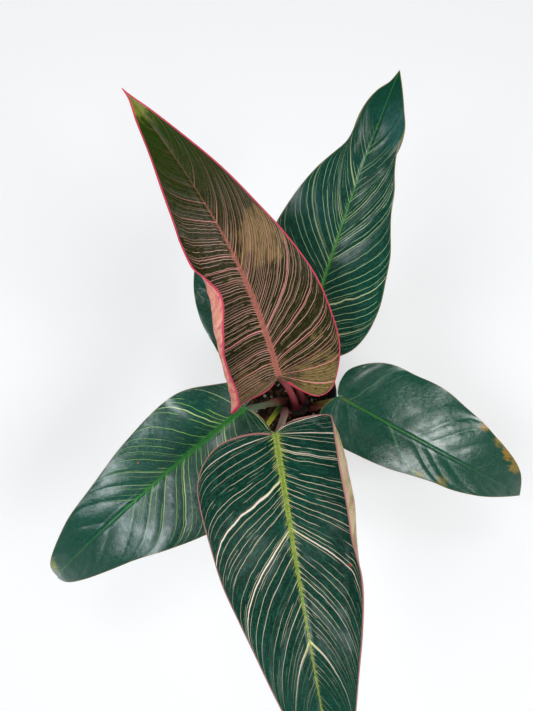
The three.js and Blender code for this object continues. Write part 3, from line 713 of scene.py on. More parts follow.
def blade_finish(name, leaf, look):
    """Both faces of a blade. Stripes follow the veins: the main ones sit on the modelled ribs and
    each has its own strength, and two finer combs of uneven lines lie between them. A comb is its
    number of lines, their half width, the share of them that is kept, strength and seed. A patch
    is a place on the flat blade, a size, a colour and a strength; most are the leaf's own spots
    and yellowing, and a few are painted sheen."""
    made = []
    for upper in (True, False):
        gloss = look["gloss"] if upper else 0.35
        constants = {"IOR": 1.45, "Specular IOR Level": gloss, "Coat Roughness": 0.24}
        material, body, feed = finish(name + ("_upper" if upper else "_under"), constants)
        veins = body.node("UVMap", {"uv_map": "veins"}, {})
        flat = body.node("UVMap", {"uv_map": "flat"}, {})
        u, v = veins.part(0), veins.part(1)
        x, y = abs(flat.part(0)) * FLAT_UNIT, flat.part(1) * FLAT_UNIT
        left = u.step(1.45, 1.55)
        s = u - 2 * left
        wobble = veins.noise(6, 2, stretch=(2.4, 1.0, 1.0)) - 0.5

        # main lines
        phase = s * leaf["ribs"] + 0.34 * (s * 11.0).math("SINE") + 0.22 * (s * 23.0 + 1.0).math("SINE")
        phase = phase + wobble * 0.12
        number = phase.math("FLOOR") + left * 40 + look["seed"]
        chance = phase.node("TexWhiteNoise", {"noise_dimensions": "1D"}, {"W": number})
        off = abs(phase.math("FRACT") - 0.5)
        lobe = 1 + s.step(FAN * 1.1, FAN * 0.4) * 0.9
        width = look["bold"] * (0.75 + chance * 0.7) * (1.45 - v) * lobe
        rare, full, strength = look["main"]
        main = (off / width).step(1.0, 0.35) * chance.step(rare, full)

        # fine lines
        combs = None
        for count, thin, keep, bright, seed in look["combs"]:
            place = s * count + wobble * (count * 0.008) + left * 500 + seed
            near, luck = place.nearest()
            dashes = {0: place.math("ROUND"), 1: v * (look["dash"] * count / 50), 2: luck * 9}
            fleck = place.node("CombineXYZ", {}, dashes).noise(1.0, 1)
            breadth = thin * (1.3 - v * 0.6)
            line = near.step(breadth, breadth * 0.35)
            line = line * luck.step(1 - keep, 1.15 - keep) * fleck.step(0.62 - keep * 0.3, 0.7 - keep * 0.3)
            line = line * bright * (0.5 + luck * 0.5)
            combs = line if combs is None else combs.math("MAXIMUM", line)
        fade = v.step(1.0, 0.9) * y.step(look["until"], look["until"] * 0.6)
        bare = y.step(look["tip_from"] * 0.9, look["tip_from"] * 1.35) * look["bare_tip"]
        main = main * strength * fade * (1 - bare * 0.75)
        combs = combs * (1 - bare) * fade * (0.5 + 0.5 * s.step(0.02, FAN * 1.2))

        # ground between the lines
        patch = body.noise(14, 2, 0.5)
        soft = body.noise(45, 3, 0.55)
        cells = body.noise(1400, 2, 0.6)
        streak = veins.noise(7, 3, 0.6, stretch=(6.0, 0.7, 1.0))
        strands = veins.noise(26, 3, 0.65, stretch=(6.0, 0.5, 1.0))
        if upper:
            speck, amount = look["speck"]
            ground = patch.step(0.35, 0.65).blend(*look["ground"])
            # Painted shade: dark streaks along the veins, in the darker ground colour, stand in for the
            # shaded hollows between them.
            ground = (streak.step(0.58, 0.4) * 0.6).blend(ground, look["ground"][0])
            ground = (strands.step(0.5, 0.62) * amount * 0.8).blend(ground, speck)
            ground = (body.noise(1000, 3, 0.7).step(0.45, 0.7) * amount).blend(ground, speck)
        else:
            fibres = veins.noise(9, 4, 0.6, stretch=(8.0, 0.8, 1.0))
            ground = (streak * 0.6 + soft * 0.4).step(0.4, 0.6).blend(*look["under"])
            stroke = fibres.step(0.45, 0.65) * (0.4 + v.step(0.55, 0.9) * 0.5)
            ground = stroke.blend(ground, look["under_stripe"])
            ground = (fibres.step(0.48, 0.3) * 0.5).blend(ground, look["under"][0])
        tip = y.step(look["tip_from"], leaf["length"])
        ground = (tip * (0.9 if upper else 0.4)).blend(ground, look["tip"])
        for centre, size, colour, strength in look["patches"] if upper else []:
            middle = (centre[0] / FLAT_UNIT, centre[1] / FLAT_UNIT, 0)
            away = body.node("VectorMath", {"operation": "DISTANCE"}, {0: flat, 1: middle}, out=1)
            uneven = (soft - 0.5) * 2.4 + (streak - 0.5) * 2.0
            mask = (away * FLAT_UNIT + uneven * size).step(size, size * 0.3)
            torn = strands.step(0.3, 0.5) if size > 3 else 1.0
            ground = (mask * strength * torn).blend(ground, colour)
        if upper:
            pale = v.step(0.02, 0.3).blend(*look["stripe"])
            colour = main.blend(combs.blend(ground, look["fine"]), pale)
        else:
            colour = (combs * 0.6).blend(ground, look["under_stripe"])
            colour = (main * 0.6).blend(colour, look["under_stripe"])

        # midrib
        taper = (1 - y / leaf["length"]).math("MAXIMUM", 0.0)
        tooth = s.node("CombineXYZ", {}, {0: s * 110.0 + left * 60}).noise(1.0, 3, 0.7).step(0.3, 0.7)
        strand = s.node("CombineXYZ", {}, {0: s * 210.0 + left * 90}).noise(1.0, 2, 0.6).step(0.5, 0.6)
        flesh = s.node("CombineXYZ", {}, {0: s * 330.0, 1: x * 0.6}).noise(1.0, 2, 0.7).step(0.35, 0.62)
        stop = look["midrib_stop"] * leaf["length"]
        slim = taper ** look["midrib_power"] * y.step(stop * 1.15, stop * 0.5)
        spread = look["midrib_width"] * (0.12 + 0.88 * slim)
        begun = y.step(-3.0, 2.0)
        feather = (x / (spread * (0.5 + tooth * 0.35 + strand * look["feather"]))).step(1.0, 0.55) * begun
        core = (x / (spread * look["core"])).step(1.0, 0.5) * begun
        grain = (body.noise(900, 2, 0.6) - 0.5) * 1.2
        fall = 1 - look["midrib_fall"] * y.step(leaf["length"] * 0.15, leaf["length"] * 0.75)
        fall = look["midrib_strength"] * fall
        outer, inner = look["midrib"]
        rib = (flesh if upper else 1 - flesh * 0.4).blend(inner, outer)
        colour = (feather * (fall + grain * 0.4)).blend(colour, rib)
        if upper:
            colour = (core * (fall * 0.55 + grain * 1.5)).blend(colour, inner)

        # margin and relief
        tint, breadth, strength = look["rim"]
        margin = body.node("Attribute", {"attribute_name": "margin"}, {}, out=2)
        edge = (margin / (breadth * (1.0 if upper else 1.5))).step(1.15, 0.75)
        sheen = (body.noise(26, 3, 0.6) * 0.7 + patch * 0.3).step(0.4, 0.6)
        swell = soft + streak * 0.12 + body.noise(24, 2, 0.5) * 3.5 + body.noise(260, 3, 0.65) * 0.75
        relief = main.math("MAXIMUM", combs) * 0.3 + cells * 0.12 + swell * look["ripple"]
        feed(
            Base_Color=(edge * strength).blend(colour, tint),
            Roughness=look["rough"] + (0.0 if upper else 0.2) + cells * 0.08 + (1 - sheen) * 0.08,
            Normal=relief.bump(0.0004, 0.55),
        )
        if upper:
            wax = body.noise(34, 4, 0.65).step(0.42, 0.66) * (0.7 + cells * 0.6)
            feed(Coat_Weight=wax * look["wax"])
        made.append(material)
    return made


# A plain half: how far round the margin the veins end, the bend of its section and the veins' angle.
HALF = dict(
    ends=[(0, 0), (0.2, 0.28), (0.35, 0.5), (0.5, 0.68), (0.65, 0.83), (0.8, 0.93), (1, 1)],
    fold=10, arch=-12, curl=0, leave=38,
)
PINK = dict(
    junction=(-6, -1, 225), heading=108, length=197,
    yaw=[(0, 0), (0.3, 7), (0.6, 16), (1, 24)],
    pitch=[(-0.2, 44), (0, 44), (0.5, 32), (1, 12)],
    right=HALF | dict(
        outline=[
            (5, -7), (13, -18), (23, -26), (33, -23), (40, -8), (45, 14), (44, 36), (41, 60),
            (35, 82), (27, 107), (20, 131), (12, 156), (5, 179), (1, 192), (0, 197),
        ],
        ends=[(0, 0), (0.2, 0.34), (0.35, 0.62), (0.5, 0.8), (0.65, 0.9), (0.8, 0.96), (1, 1)],
        fold=12, arch=-14,
    ),
    left=HALF | dict(
        outline=[
            (4, -5), (9, -7.5), (16, -8.5), (24, -8), (32, -8.5), (40, -8), (45, -3), (46.5, 5),
            (46, 15), (43, 30), (40.5, 46), (40, 62), (37, 76), (31, 92), (25.5, 112), (19, 136),
            (13, 156), (6, 178), (1, 190), (0, 197),
        ],
        ends=[(0, 0), (0.2, 0.22), (0.35, 0.38), (0.5, 0.56), (0.65, 0.74), (0.8, 0.9), (1, 1)],
        fold=14, arch=0,
        curl=[
            (-0.06, 0), (-0.03, 60), (0.02, 145), (0.12, 135), (0.2, 125), (0.28, 165), (0.37, 178),
            (0.44, 120), (0.5, 50), (0.58, 0),
        ],
        strip=[(-0.05, 15), (0.06, 18.5), (0.15, 15), (0.25, 14.5), (0.36, 18.5), (0.5, 15)],
        leave=50,
    ),
    ribs=22, wave=0.5, keel=2.3,
)
pink_look = PLAIN_LOOK | dict(
    seed=3, ground=("141703", "1f2007"), stripe=("ec9890", "e48c88"), fine="e4b0a0",
    main=(0.0, 0.6, 0.9), bold=0.022,
    combs=[(128, 0.09, 0.97, 1.0, 31.0), (210, 0.1, 0.5, 0.4, 7.0)], until=197,
    bare_tip=0.85, tip="1f3a04", tip_from=100, midrib=("d67a76", "94604a"), core=0.5,
    midrib_power=0.5, midrib_stop=0.62, midrib_width=3.6, feather=0.5,
    speck=("4a4720", 0.5), midrib_fall=0.8, rim=("c8405a", 0.8, 1.0),
    under=("d2826a", "e0a68c"), under_stripe="c0506a",
    patches=[
        # The first patch, on the right half, is the leaf's tan tissue with a painted sheen over it.
        ((16, 90), 22, "80683e", 0.75),
        ((28, -12), 30, "7c6a38", 0.75),
        ((-22, -4), 28, "6c5836", 0.65),
        ((0, 196), 24, "7f8430", 0.8),
    ],
    ripple=1.0, gloss=0.1, wax=0.1, rough=0.3,
)
pink_blade = blade("pink", PINK, pink_look)
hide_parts("blade_pink")


# Back leaf
# A mature dark leaf behind the pink one, blue-green with cream lines that crowd its right half. It
# narrows and twists a little before the tip.

BACK = dict(
    junction=(14, 26, 192), heading=74, length=199, yaw=[(0, 0), (1, -6.5)],
    pitch=[(-0.2, 30), (0, 30), (0.5, 25), (0.8, 10), (1, 0)],
    right=HALF | dict(
        outline=[
            (3, -3), (8, -7), (17, -6), (27, 0), (35, 8), (41, 22), (43, 42), (41, 62), (38, 80), (33, 94),
            (29, 106), (26, 120), (21, 134), (18, 147), (18, 160), (13, 172), (7, 185), (0, 199),
        ],
        ends=[(0, 0), (0.2, 0.28), (0.35, 0.5), (0.5, 0.7), (0.65, 0.84), (0.8, 0.94), (1, 1)],
        arch=[(0, -12), (0.6, -12), (0.72, -60), (0.85, -10), (1, 0)],
    ),
    left=HALF | dict(
        outline=[
            (4, -6), (10, -12), (20, -14), (32, -4), (40, 14), (44, 36), (45, 58), (44, 76), (40, 92),
            (35, 106), (29, 119), (22, 131), (16, 143), (14, 155), (13, 167), (9, 179), (3, 189), (0, 199),
        ],
        ends=[(0, 0), (0.2, 0.3), (0.35, 0.55), (0.5, 0.75), (0.65, 0.87), (0.8, 0.95), (1, 1)],
        arch=[(0, -12), (0.62, -12), (0.74, -80), (0.87, -20), (1, -10)],
    ),
    ribs=11, wave=0.7, keel=2.1,
)
back_look = PLAIN_LOOK | dict(
    seed=11, ground=("062c23", "0d3a2e"), stripe=("8fa86a", "b9c193"), fine="aac690",
    main=(0.05, 0.55, 0.95), bold=0.018,
    combs=[(54, 0.06, 0.9, 1.0, 17.0), (110, 0.07, 0.4, 0.6, 51.0)], dash=2.5, until=180,
    bare_tip=0.6, tip="10402f", tip_from=140, midrib=("3a7a34", "4c9034"), midrib_width=3.0,
    feather=0.8, speck=("28644f", 0.4), midrib_fall=0.5, rim=("8f7f4c", 0.5, 0.9),
    under=("4d7350", "5f8560"), under_stripe="8fa67b",
    # The patch near the tip, a lighter blue-grey on the right half, is a painted sheen.
    patches=[((16, 165), 20, "2f5c5c", 0.45), ((-22, 100), 26, "133f40", 0.5)], ripple=1.6,
    gloss=0.1, wax=0.6, rough=0.24,
)
back_blade = blade("back", BACK, back_look)
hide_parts("blade_back")


# Left leaf
# A wide glossy leaf that droops at its tip, teal green with yellow-green lines near its base and a
# bright feathered midrib. Its upper lobe stands up where the pink leaf's margin touches down.

LEFT = dict(
    junction=(-31, -19, 175), heading=220, length=203, yaw=[(0, 0), (1, 3)],
    pitch=[(-0.2, 10), (0, 8), (0.4, 0), (0.8, -22), (1, -60)],
    right=HALF | dict(
        outline=[
            (3, -12), (9, -19), (16, -19), (23, -8), (33, 10), (40, 32), (40, 58), (37, 80), (32, 104),
            (27, 128), (22, 152), (14, 177), (7, 194), (0, 203),
        ],
        fold=[(-0.1, 52), (0.03, 48), (0.22, 16), (1, 10)], arch=-18,
    ),
    left=HALF | dict(
        outline=[
            (4, -2), (10, -4), (23, -5), (38, 0), (50, 16), (56, 42), (55, 66), (50, 86), (43, 104),
            (33, 126), (26, 146), (17, 170), (8, 192), (0, 203),
        ],
    ),
    ribs=12, wave=0.8, keel=2.3,
)
left_look = PLAIN_LOOK | dict(
    seed=29, ground=("07372a", "104436"), stripe=("8cc05a", "b4cc86"), fine="94c85a",
    main=(0.0, 0.5, 1.0), bold=0.02,
    combs=[(44, 0.05, 0.85, 1.0, 5.0), (104, 0.07, 0.3, 0.5, 77.0)], until=130,
    bare_tip=0.8, tip="124a38", tip_from=110, midrib=("46a03c", "267030"), midrib_stop=0.9,
    midrib_width=4.6, feather=1.0, speck=("2b6a54", 0.5), midrib_fall=0.65,
    rim=("8f7446", 0.45, 0.85), under=("537c53", "638d61"), under_stripe="95ad79",
    patches=[
        ((12, 192), 12, "8f9a35", 0.8),
        ((19, 84), 1.3, "b0702c", 0.9),
    ],
    ripple=2.2, gloss=0.4, wax=1.0, rough=0.22,
)
left_blade = blade("left", LEFT, left_look)
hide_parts("blade_left")


# Front leaf
# The largest leaf, nearest the viewer, deep blue-green with bold cream-pink stripes and a
# yellow-green feathered midrib. Its left margin rolls over and shows the khaki underside.

FRONT = dict(
    junction=(-8, -40, 222), heading=278, length=212, yaw=[(0, 0), (1, 3)],
    pitch=[(-0.2, 24), (0, 24), (0.4, 14), (0.8, -6), (1, -20)],
    right=HALF | dict(
        outline=[
            (4, 0), (12, -1), (24, 0), (38, 4), (49, 15), (54, 28), (53, 44), (50, 62), (45, 86),
            (38, 107), (31, 127), (22, 154), (12, 182), (5, 200), (0, 212),
        ],
        ends=[(0, 0), (0.2, 0.3), (0.35, 0.52), (0.5, 0.73), (0.65, 0.87), (0.8, 0.95), (1, 1)],
    ),
    left=HALF | dict(
        outline=[
            (3, -3), (8, -6), (17, -7), (33, -5), (45, 2), (52, 16), (53, 34), (52, 56), (48, 78),
            (41, 99), (33, 118), (27, 134), (22, 150), (17.5, 165), (12, 182), (5, 200), (0, 212),
        ],
        ends=[(0, 0), (0.2, 0.3), (0.35, 0.5), (0.5, 0.7), (0.65, 0.85), (0.8, 0.94), (1, 1)],
        arch=-6,
        curl=[
            (-0.04, 0), (0.02, 110), (0.1, 160), (0.2, 172), (0.34, 150), (0.46, 90), (0.58, 30),
            (0.7, 0),
        ],
        strip=20, leave=45,
    ),
    ribs=14, wave=0.5, keel=2.4,
)
front_look = PLAIN_LOOK | dict(
    seed=53, ground=("06291f", "0e3a2d"), stripe=("e2dba0", "f4e2ce"), fine="e0d2b0",
    main=(0.0, 0.5, 1.0), bold=0.026,
    combs=[(62, 0.055, 0.85, 1.0, 9.0), (120, 0.07, 0.4, 0.7, 63.0)], dash=2.2, until=214,
    bare_tip=0.75, tip="133f31", tip_from=120, midrib=("c3c766", "6a8c30"), core=0.35,
    midrib_power=1.7, midrib_width=4.4, feather=1.0, speck=("2a6a55", 0.4),
    midrib_fall=0.45, rim=("b47a74", 0.6, 0.95), under=("8a7a4c", "c0b088"),
    under_stripe="cc9a90", patches=[((-31, 88), 1.5, "a8402c", 0.9)], ripple=1.6, gloss=0.1,
    wax=0.35, rough=0.24,
)
front_blade = blade("front", FRONT, front_look)
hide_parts("blade_front")


# Right leaf
# An older plain green leaf with faint lines and a deep midrib, yellowing in spots near its margins.

RIGHT = dict(
    junction=(44, -8, 150), heading=-30, length=181, yaw=[(0, 0), (1, 6)],
    pitch=[(-0.2, 10), (0, 5), (0.4, -8), (0.8, -22), (1, -34)],
    right=HALF | dict(
        outline=[
            (4, -3), (9, -5), (18, -7), (28, 0), (34, 15), (34, 35), (32, 57), (28, 76), (25, 93),
            (23, 112), (18, 134), (10, 157), (4, 172), (0, 181),
        ],
    ),
    left=HALF | dict(
        outline=[
            (4, -3), (10, -5), (22, -4), (32, 4), (40, 16), (44, 30), (45, 46), (46, 62), (45, 78),
            (42, 94), (38, 110), (33, 127), (29, 142), (22, 158), (14, 170), (6, 177), (0, 181),
        ],
    ),
    ribs=10, wave=1.0, keel=2.2,
)
right_look = PLAIN_LOOK | dict(
    seed=71, ground=("083c2c", "104635"), stripe=("5f8c4c", "5f8f6a"), fine="5f8f62",
    main=(0.3, 0.95, 0.5), bold=0.02,
    combs=[(50, 0.1, 0.4, 0.3, 15.0), (110, 0.12, 0.4, 0.2, 91.0)], until=130, bare_tip=0.6,
    tip="0b4431", tip_from=120, midrib=("2a6736", "468636"), midrib_width=2.6,
    midrib_strength=0.75, feather=0.4, speck=("2a6a55", 0.5), midrib_fall=0.5,
    rim=("85743c", 0.45, 0.8), under=("4f744e", "5f855b"), under_stripe="869e6e",
    patches=[
        ((-34, 117), 7, "b0822c", 0.9),
        ((-31, 133), 8, "a8862e", 0.9),
        ((-27, 147), 8, "a07a2c", 0.9),
        ((-20, 160), 7, "9a7a2e", 0.8),
        ((25, 84), 7, "9c8628", 0.85),
        ((22, 100), 7, "8a7a2a", 0.7),
    ],
    ripple=2.0, gloss=0.4, wax=1.0, rough=0.22,
)
right_blade = blade("right", RIGHT, right_look)
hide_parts("blade_right")


# Rear leaf
# A smaller plain leaf low at the back, almost hidden under the pink one.

REAR = dict(
    junction=(-18, 18, 140), heading=109, length=142, yaw=[(0, 0), (1, -4)],
    pitch=[(-0.2, 20), (0, 18), (0.4, 5), (0.8, -12), (1, -25)],
    right=HALF | dict(
        outline=[
            (4, -6), (10, -10), (18, -8), (27, 0), (32, 14), (33, 34), (30, 58), (25, 82),
            (19, 104), (11, 124), (4, 136), (0, 142),
        ],
    ),
    left=HALF | dict(
        outline=[
            (4, -6), (10, -10), (17, -8), (23, 0), (28, 12), (32, 30), (36, 52), (34, 76),
            (26, 100), (14, 122), (5, 136), (0, 142),
        ],
    ),
    ribs=9, wave=0.8, keel=1.9,
)
rear_look = dict(right_look, seed=97, patches=[], until=120)
rear_blade = blade("rear", REAR, rear_look)
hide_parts("blade_rear")


# Petioles
# The fleshy leaf stalks. Each grows out of the crown with a clasping foot, has a shallow channel
# along its upper side, and bends at the top into the midrib of its blade.

STALK_ROWS, STALK_SIDES = 90, 40
CROWN_CLEAR = 9.4
UNDER_MIDRIB = 20.0
crown_top = CROWN_FOOT + CROWN_HEIGHT


def petiole_path(leaf, stalk):
    """Points of the stalk's middle: the curve that leans out from the crown to just under the
    junction, let into the crown at its foot and run on under the midrib at its top."""
    angle = np.radians(stalk["angle"])
    outwards = np.array([np.cos(angle), np.sin(angle), 0])
    out = stalk.get("out", CROWN_CLEAR + stalk["foot"])
    foot = np.array([CROWN[0], CROWN[1], stalk["height"]]) + outwards * out
    place, _, _, up = (v[0] for v in midrib(leaf, np.array([3.0])))
    slope = (place - foot) @ up / np.linalg.norm(place - foot)
    end = place - up * (0.8 + stalk["top"] * np.sqrt(1 - slope**2))
    bow = (foot - end) * (1, 1, 0) * 0.12
    low = foot + (end - foot) * 0.2 + bow * 0.7
    middle = foot + (end - foot) * 0.55 + bow
    return smooth_curve([foot, low, middle, end], 60), outwards


def thickness(stalk, u):
    """Radius of a stalk at a share of its height: it slims evenly over the first five eighths."""
    return stalk["foot"] + (stalk["top"] - stalk["foot"]) * np.minimum(1, 1.6 * u)


def frames(curve, facing):
    """Two directions at each point of a curve, square to it and to each other: the first leans to
    the facing side."""
    along = np.gradient(curve, axis=0)
    along /= np.linalg.norm(along, axis=1, keepdims=True)
    inner = facing - (along @ facing)[:, None] * along
    inner /= np.linalg.norm(inner, axis=1, keepdims=True)
    return inner, np.cross(along, inner)


def spun(curve, sides, radius, angle):
    """Points round each point of a curve, at a radius and an angle between its two directions."""
    across, square = (side[:, None] for side in sides)
    out, over = (radius * np.cos(angle))[..., None], (radius * np.sin(angle))[..., None]
    return curve[:, None] + across * out + square * over


def capped(curve, rings):
    """The rings of a tube, with both ends closed onto the end points of its curve."""
    first, last = (np.repeat(point[None, None], rings.shape[1], 1) for point in (curve[0], curve[-1]))
    return np.concatenate([first, rings, last])


def even_map(rows, columns):
    """A UV map that runs from 0 to 1 both along and round a grid of points."""
    u, v = np.meshgrid(np.linspace(0, 1, rows), np.linspace(0, 1, columns), indexing="ij")
    return {"along": np.stack([u, v], -1).reshape(-1, 2)}


def stalk_tube(curve, radius, channel, seam):
    """A closed tube along a curve. The section is a circle with low ridges, and the channel dents
    it on the side that seam points to; radius and channel are given along the curve."""
    angle = np.linspace(0, 2 * np.pi, STALK_SIDES, endpoint=False)
    dent = 1 - channel[:, None] * hump(np.angle(np.exp(1j * angle)), 0.42)[None]
    ridge = 1 + 0.018 * np.sin(angle * 11)[None] + 0.012 * np.sin(angle * 17 + 1.0)[None]
    tube = capped(curve, spun(curve, frames(curve, seam), radius[:, None] * dent * ridge, angle))
    u = np.concatenate([[0], np.linspace(0, 1, len(curve)), [1]])[:, None] + 0 * angle[None]
    maps = {"along": np.stack([u, 0 * u + angle[None] / (2 * np.pi)], -1).reshape(-1, 2)}
    return tube.reshape(-1, 3), grid_faces(len(tube), STALK_SIDES, wrap=True), maps


def petiole(name, leaf, stalk):
    """The stalk's tube: thick and flared at the crown, slimmer upwards, thin under the midrib. The
    top of its path is there twice, so that it turns sharply into the midrib."""
    path, outwards = petiole_path(leaf, stalk)
    place, _, _, up = midrib(leaf, np.array([UNDER_MIDRIB / 2, UNDER_MIDRIB]))
    keel = leaf["keel"]
    root = path[0] - outwards * min(6.0, stalk.get("out", CROWN_CLEAR)) - np.array([0, 0, 5.0])
    run = [place[0] - up[0] * (0.3 + keel * 0.62), place[1] - up[1] * (0.2 + keel * 0.4)]
    full = smooth_curve(np.concatenate([[root], path[::30], path[-1:], run]), 40)
    length = lengths(full)
    keep = np.concatenate([[True], np.diff(length) > 1e-6])
    full, length = full[keep], length[keep]
    mm = np.linspace(0, 1, STALK_ROWS) * length[-1]
    curve = np.stack([np.interp(mm, length, full[:, k]) for k in range(3)], -1)
    foot_mm = np.linalg.norm(path[0] - root)
    stem_mm = length[-1] - UNDER_MIDRIB - foot_mm
    u = np.clip((mm - foot_mm) / stem_mm, 0, 1)
    past = mm - foot_mm - stem_mm
    flare = 1.6 * hump(np.clip(mm - 2, 0, None), 7.0) + 0.35 * hump(past, 5.0)
    radius = (thickness(stalk, u) + flare) * (1 - 0.62 * np.clip((past + 2) / 22.0, 0, 1) ** 1.2)
    seam = -outwards + np.array([0, 0, 0.4])
    tube = stalk_tube(curve, radius, 0.16 * np.clip(u * 6, 0, 1), seam / np.linalg.norm(seam))
    piece = make_piece(name, *tube)
    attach(piece, "root")
    return piece


def stalk_finish(name, low, high, streak, gloss):
    """Skin of a stalk: fine lengthwise streaks, low colour at the crown and high at the blade."""
    material, body, feed = finish(name, {"IOR": 1.45, "Specular IOR Level": gloss})
    along = body.node("UVMap", {"uv_map": "along"}, {})
    streaks = along.noise(6, 4, 0.6, stretch=(0.6, 9.0, 1.0))
    fleck = body.noise(700, 2, 0.6)
    mottle = body.noise(90, 3, 0.6)
    colour = (along.part(0) + (mottle - 0.5) * 0.4).step(0.12, 0.75).blend(low, high)
    colour = (streaks.step(0.5, 0.68) * 0.55).blend(colour, streak)
    feed(
        Base_Color=(fleck.step(0.62, 0.7) * 0.25).blend(colour, streak),
        Roughness=0.34 + mottle * 0.2,
        Normal=(streaks * 0.7 + fleck * 0.2).bump(0.0005, 0.6),
    )
    return material


crimson_skin = stalk_finish("crimson_stalk", "4c0810", "94182e", "b03c50", 0.18)
olive_skin = stalk_finish("olive_stalk", "541a12", "66662c", "8a7a44", 0.25)
grey_skin = stalk_finish("grey_green_stalk", "5c241c", "5c7054", "8f9a7c", 0.25)
blush_skin = stalk_finish("blush_stalk", "7c4a48", "8a7062", "b09888", 0.3)

# Each stalk: the bearing and height of its foot on the crown, and its radius at foot and top.
STALKS = {
    "pink": (PINK, dict(angle=200, height=crown_top + 1, out=3.4, foot=3.3, top=2.4)),
    "back": (BACK, dict(angle=60, height=90, foot=3.3, top=2.3)),
    "left": (LEFT, dict(angle=168, height=87, foot=3.3, top=2.4)),
    "front": (FRONT, dict(angle=204, height=90, foot=3.3, top=2.5)),
    "right": (RIGHT, dict(angle=-8, height=86, foot=3.3, top=2.3)),
    "rear": (REAR, dict(angle=112, height=85, foot=3.0, top=2.1)),
}
SKINS = {"pink": crimson_skin, "left": grey_skin, "front": blush_skin}
for key, (leaf, stalk) in STALKS.items():
    piece = petiole(f"{key}_leaf_stalk", leaf, stalk)
    piece.data.materials.append(SKINS.get(key, olive_skin))
    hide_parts(f"petiole_{key}")
    "petiole_crimson" if key == "pink" else "petiole_olive"


# Sheaths
# The wings at the foot of a petiole that wrapped the next leaf in bud. They dry to thin brown
# gutters with ragged edges; the front one is still fleshy and crimson.

SHEATH_ROWS, SHEATH_COLUMNS = 70, 34


def sheath(name, leaf, stalk, first, last, facing, reach):
    """A gutter round the stalk: its section is an arc that narrows towards the top to nothing, out
    along the outer face and back along the inner one, with a ragged upper edge."""
    path, _ = petiole_path(leaf, stalk)
    share = np.linspace(0, 1, SHEATH_ROWS)
    u = first + (last - first) * share
    centre = along_curve(path, u)
    turn = np.radians(facing)
    sides = frames(centre, -np.array([np.cos(turn), np.sin(turn), 0]))
    q = np.linspace(-1, 1, SHEATH_COLUMNS)[None]
    ragged = 1 + 0.05 * np.sin(share * 31) + 0.03 * np.sin(share * 67 + 1)
    spread = np.radians(reach) * (1 - 0.94 * share**2.2) * ragged
    angle = spread[:, None] * q
    base = thickness(stalk, u) + 0.75
    lip = 0.9 * np.abs(q) ** 6 * (1 - share[:, None])
    fold = 0.12 * np.sin(angle * 9 + 3 * share[:, None])
    thick = 0.34 * np.sqrt(np.clip(1 - np.abs(q) ** 8, 0, 1)) + 0 * angle
    middle = base[:, None] + lip + fold
    outer, inner = (spun(centre, sides, middle + sign * thick, angle) for sign in (1, -1))
    ends = [(outer[k] + inner[k]) / 2 for k in (0, -1)]
    caps = [np.concatenate([end, end[::-1]])[None] for end in ends]
    loop = np.concatenate([caps[0], np.concatenate([outer, inner[:, ::-1]], 1), caps[1]])
    faces = grid_faces(*loop.shape[:2], wrap=True)
    piece = make_piece(name, loop.reshape(-1, 3), faces, maps=even_map(*loop.shape[:2]))
    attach(piece, "root")
    return piece


def sheath_finish(name, dark, light, edge):
    """Dried skin: strong lengthwise fibres, blotches, and a paler tone towards the tip."""
    material, body, feed = finish(name, {"Specular IOR Level": 0.3})
    along = body.node("UVMap", {"uv_map": "along"}, {})
    fibres = along.noise(7, 4, 0.65, stretch=(0.5, 12.0, 1.0))
    blotch = body.noise(150, 4, 0.65).step(0.42, 0.62)
    colour = (blotch * 0.5).blend(fibres.step(0.38, 0.62).blend(dark, light), dark)
    feed(
        Base_Color=(along.part(0).step(0.4, 1.0) * 0.6).blend(colour, edge),
        Roughness=0.5 + blotch * 0.3,
        Normal=fibres.bump(0.0006, 0.8),
    )
    return material


brown_sheath = sheath_finish("dried_sheath", "38100e", "742a20", "a05a44")
crimson_sheath = sheath_finish("crimson_sheath_skin", "8a2436", "b94a58", "cf8a84")

# Each sheath: where it starts and ends along the stalk, the bearing of its open side and how far
# round it reaches in degrees.
SHEATHS = {
    "left": (0.1, 0.5, 250, 105, brown_sheath, "sheath_brown"),
    "right": (0.12, 0.62, 100, 105, brown_sheath, "sheath_brown"),
    "front": (0.1, 0.34, 60, 95, crimson_sheath, "petiole_crimson"),
}
for key, (first, last, facing, reach, look, slot) in SHEATHS.items():
    piece = sheath(f"{key}_leaf_sheath", *STALKS[key], first, last, facing, reach)
    piece.data.materials.append(look)
    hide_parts(f"sheath_{key}")


# New leaf and cut stub
# The next leaf is still a tight pointed roll, dark red and ridged, on top of the crown. Beside the
# crown stands the yellow-green stub of a leaf that was cut off.

ROLL_ROWS, ROLL_SIDES = 80, 60
spike_path = smooth_curve(
    [(18.4, -6.4, 96), (18.4, -6.4, 99), (14.5, -2.5, 124), (10.8, 0.2, 147), (8.2, 2.5, 170)], 30
)
share = np.linspace(0, 1, ROLL_ROWS)
curve = along_curve(spike_path, share)
radius = 2.8 + 0.5 * np.sin(np.pi * np.minimum(1, 2 * share)) - 2.75 * share**1.6
along = np.gradient(curve, axis=0)
along /= np.linalg.norm(along, axis=1, keepdims=True)
inner = np.cross(along, (0, 1, 0))
inner /= np.linalg.norm(inner, axis=1, keepdims=True)
lap, lip = 2 * np.pi + 0.01, 2 * np.pi + 0.02
angle = np.concatenate([np.linspace(0, 2 * np.pi, ROLL_SIDES), [lip, lap]])
swirl = angle[None] + 2.2 * share[:, None]
wrap = np.interp(angle, [0, 2 * np.pi, lap, lip], [0.94, 1.1, 0.94, 1.02])
r = radius[:, None] * (wrap + 0.02 * np.sin(angle * 9))[None]
roll = capped(curve, spun(curve, (inner, np.cross(along, inner)), r, swirl))
roll_faces = grid_faces(*roll.shape[:2], wrap=True)
spike = make_piece("new_leaf_roll", roll.reshape(-1, 3), roll_faces, maps=even_map(*roll.shape[:2]))
spike.data.materials.append(stalk_finish("rolled_leaf_skin", "4a0810", "6a1c1a", "94383c", 0.18))
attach(spike, "root")
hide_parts("new_leaf_spike")

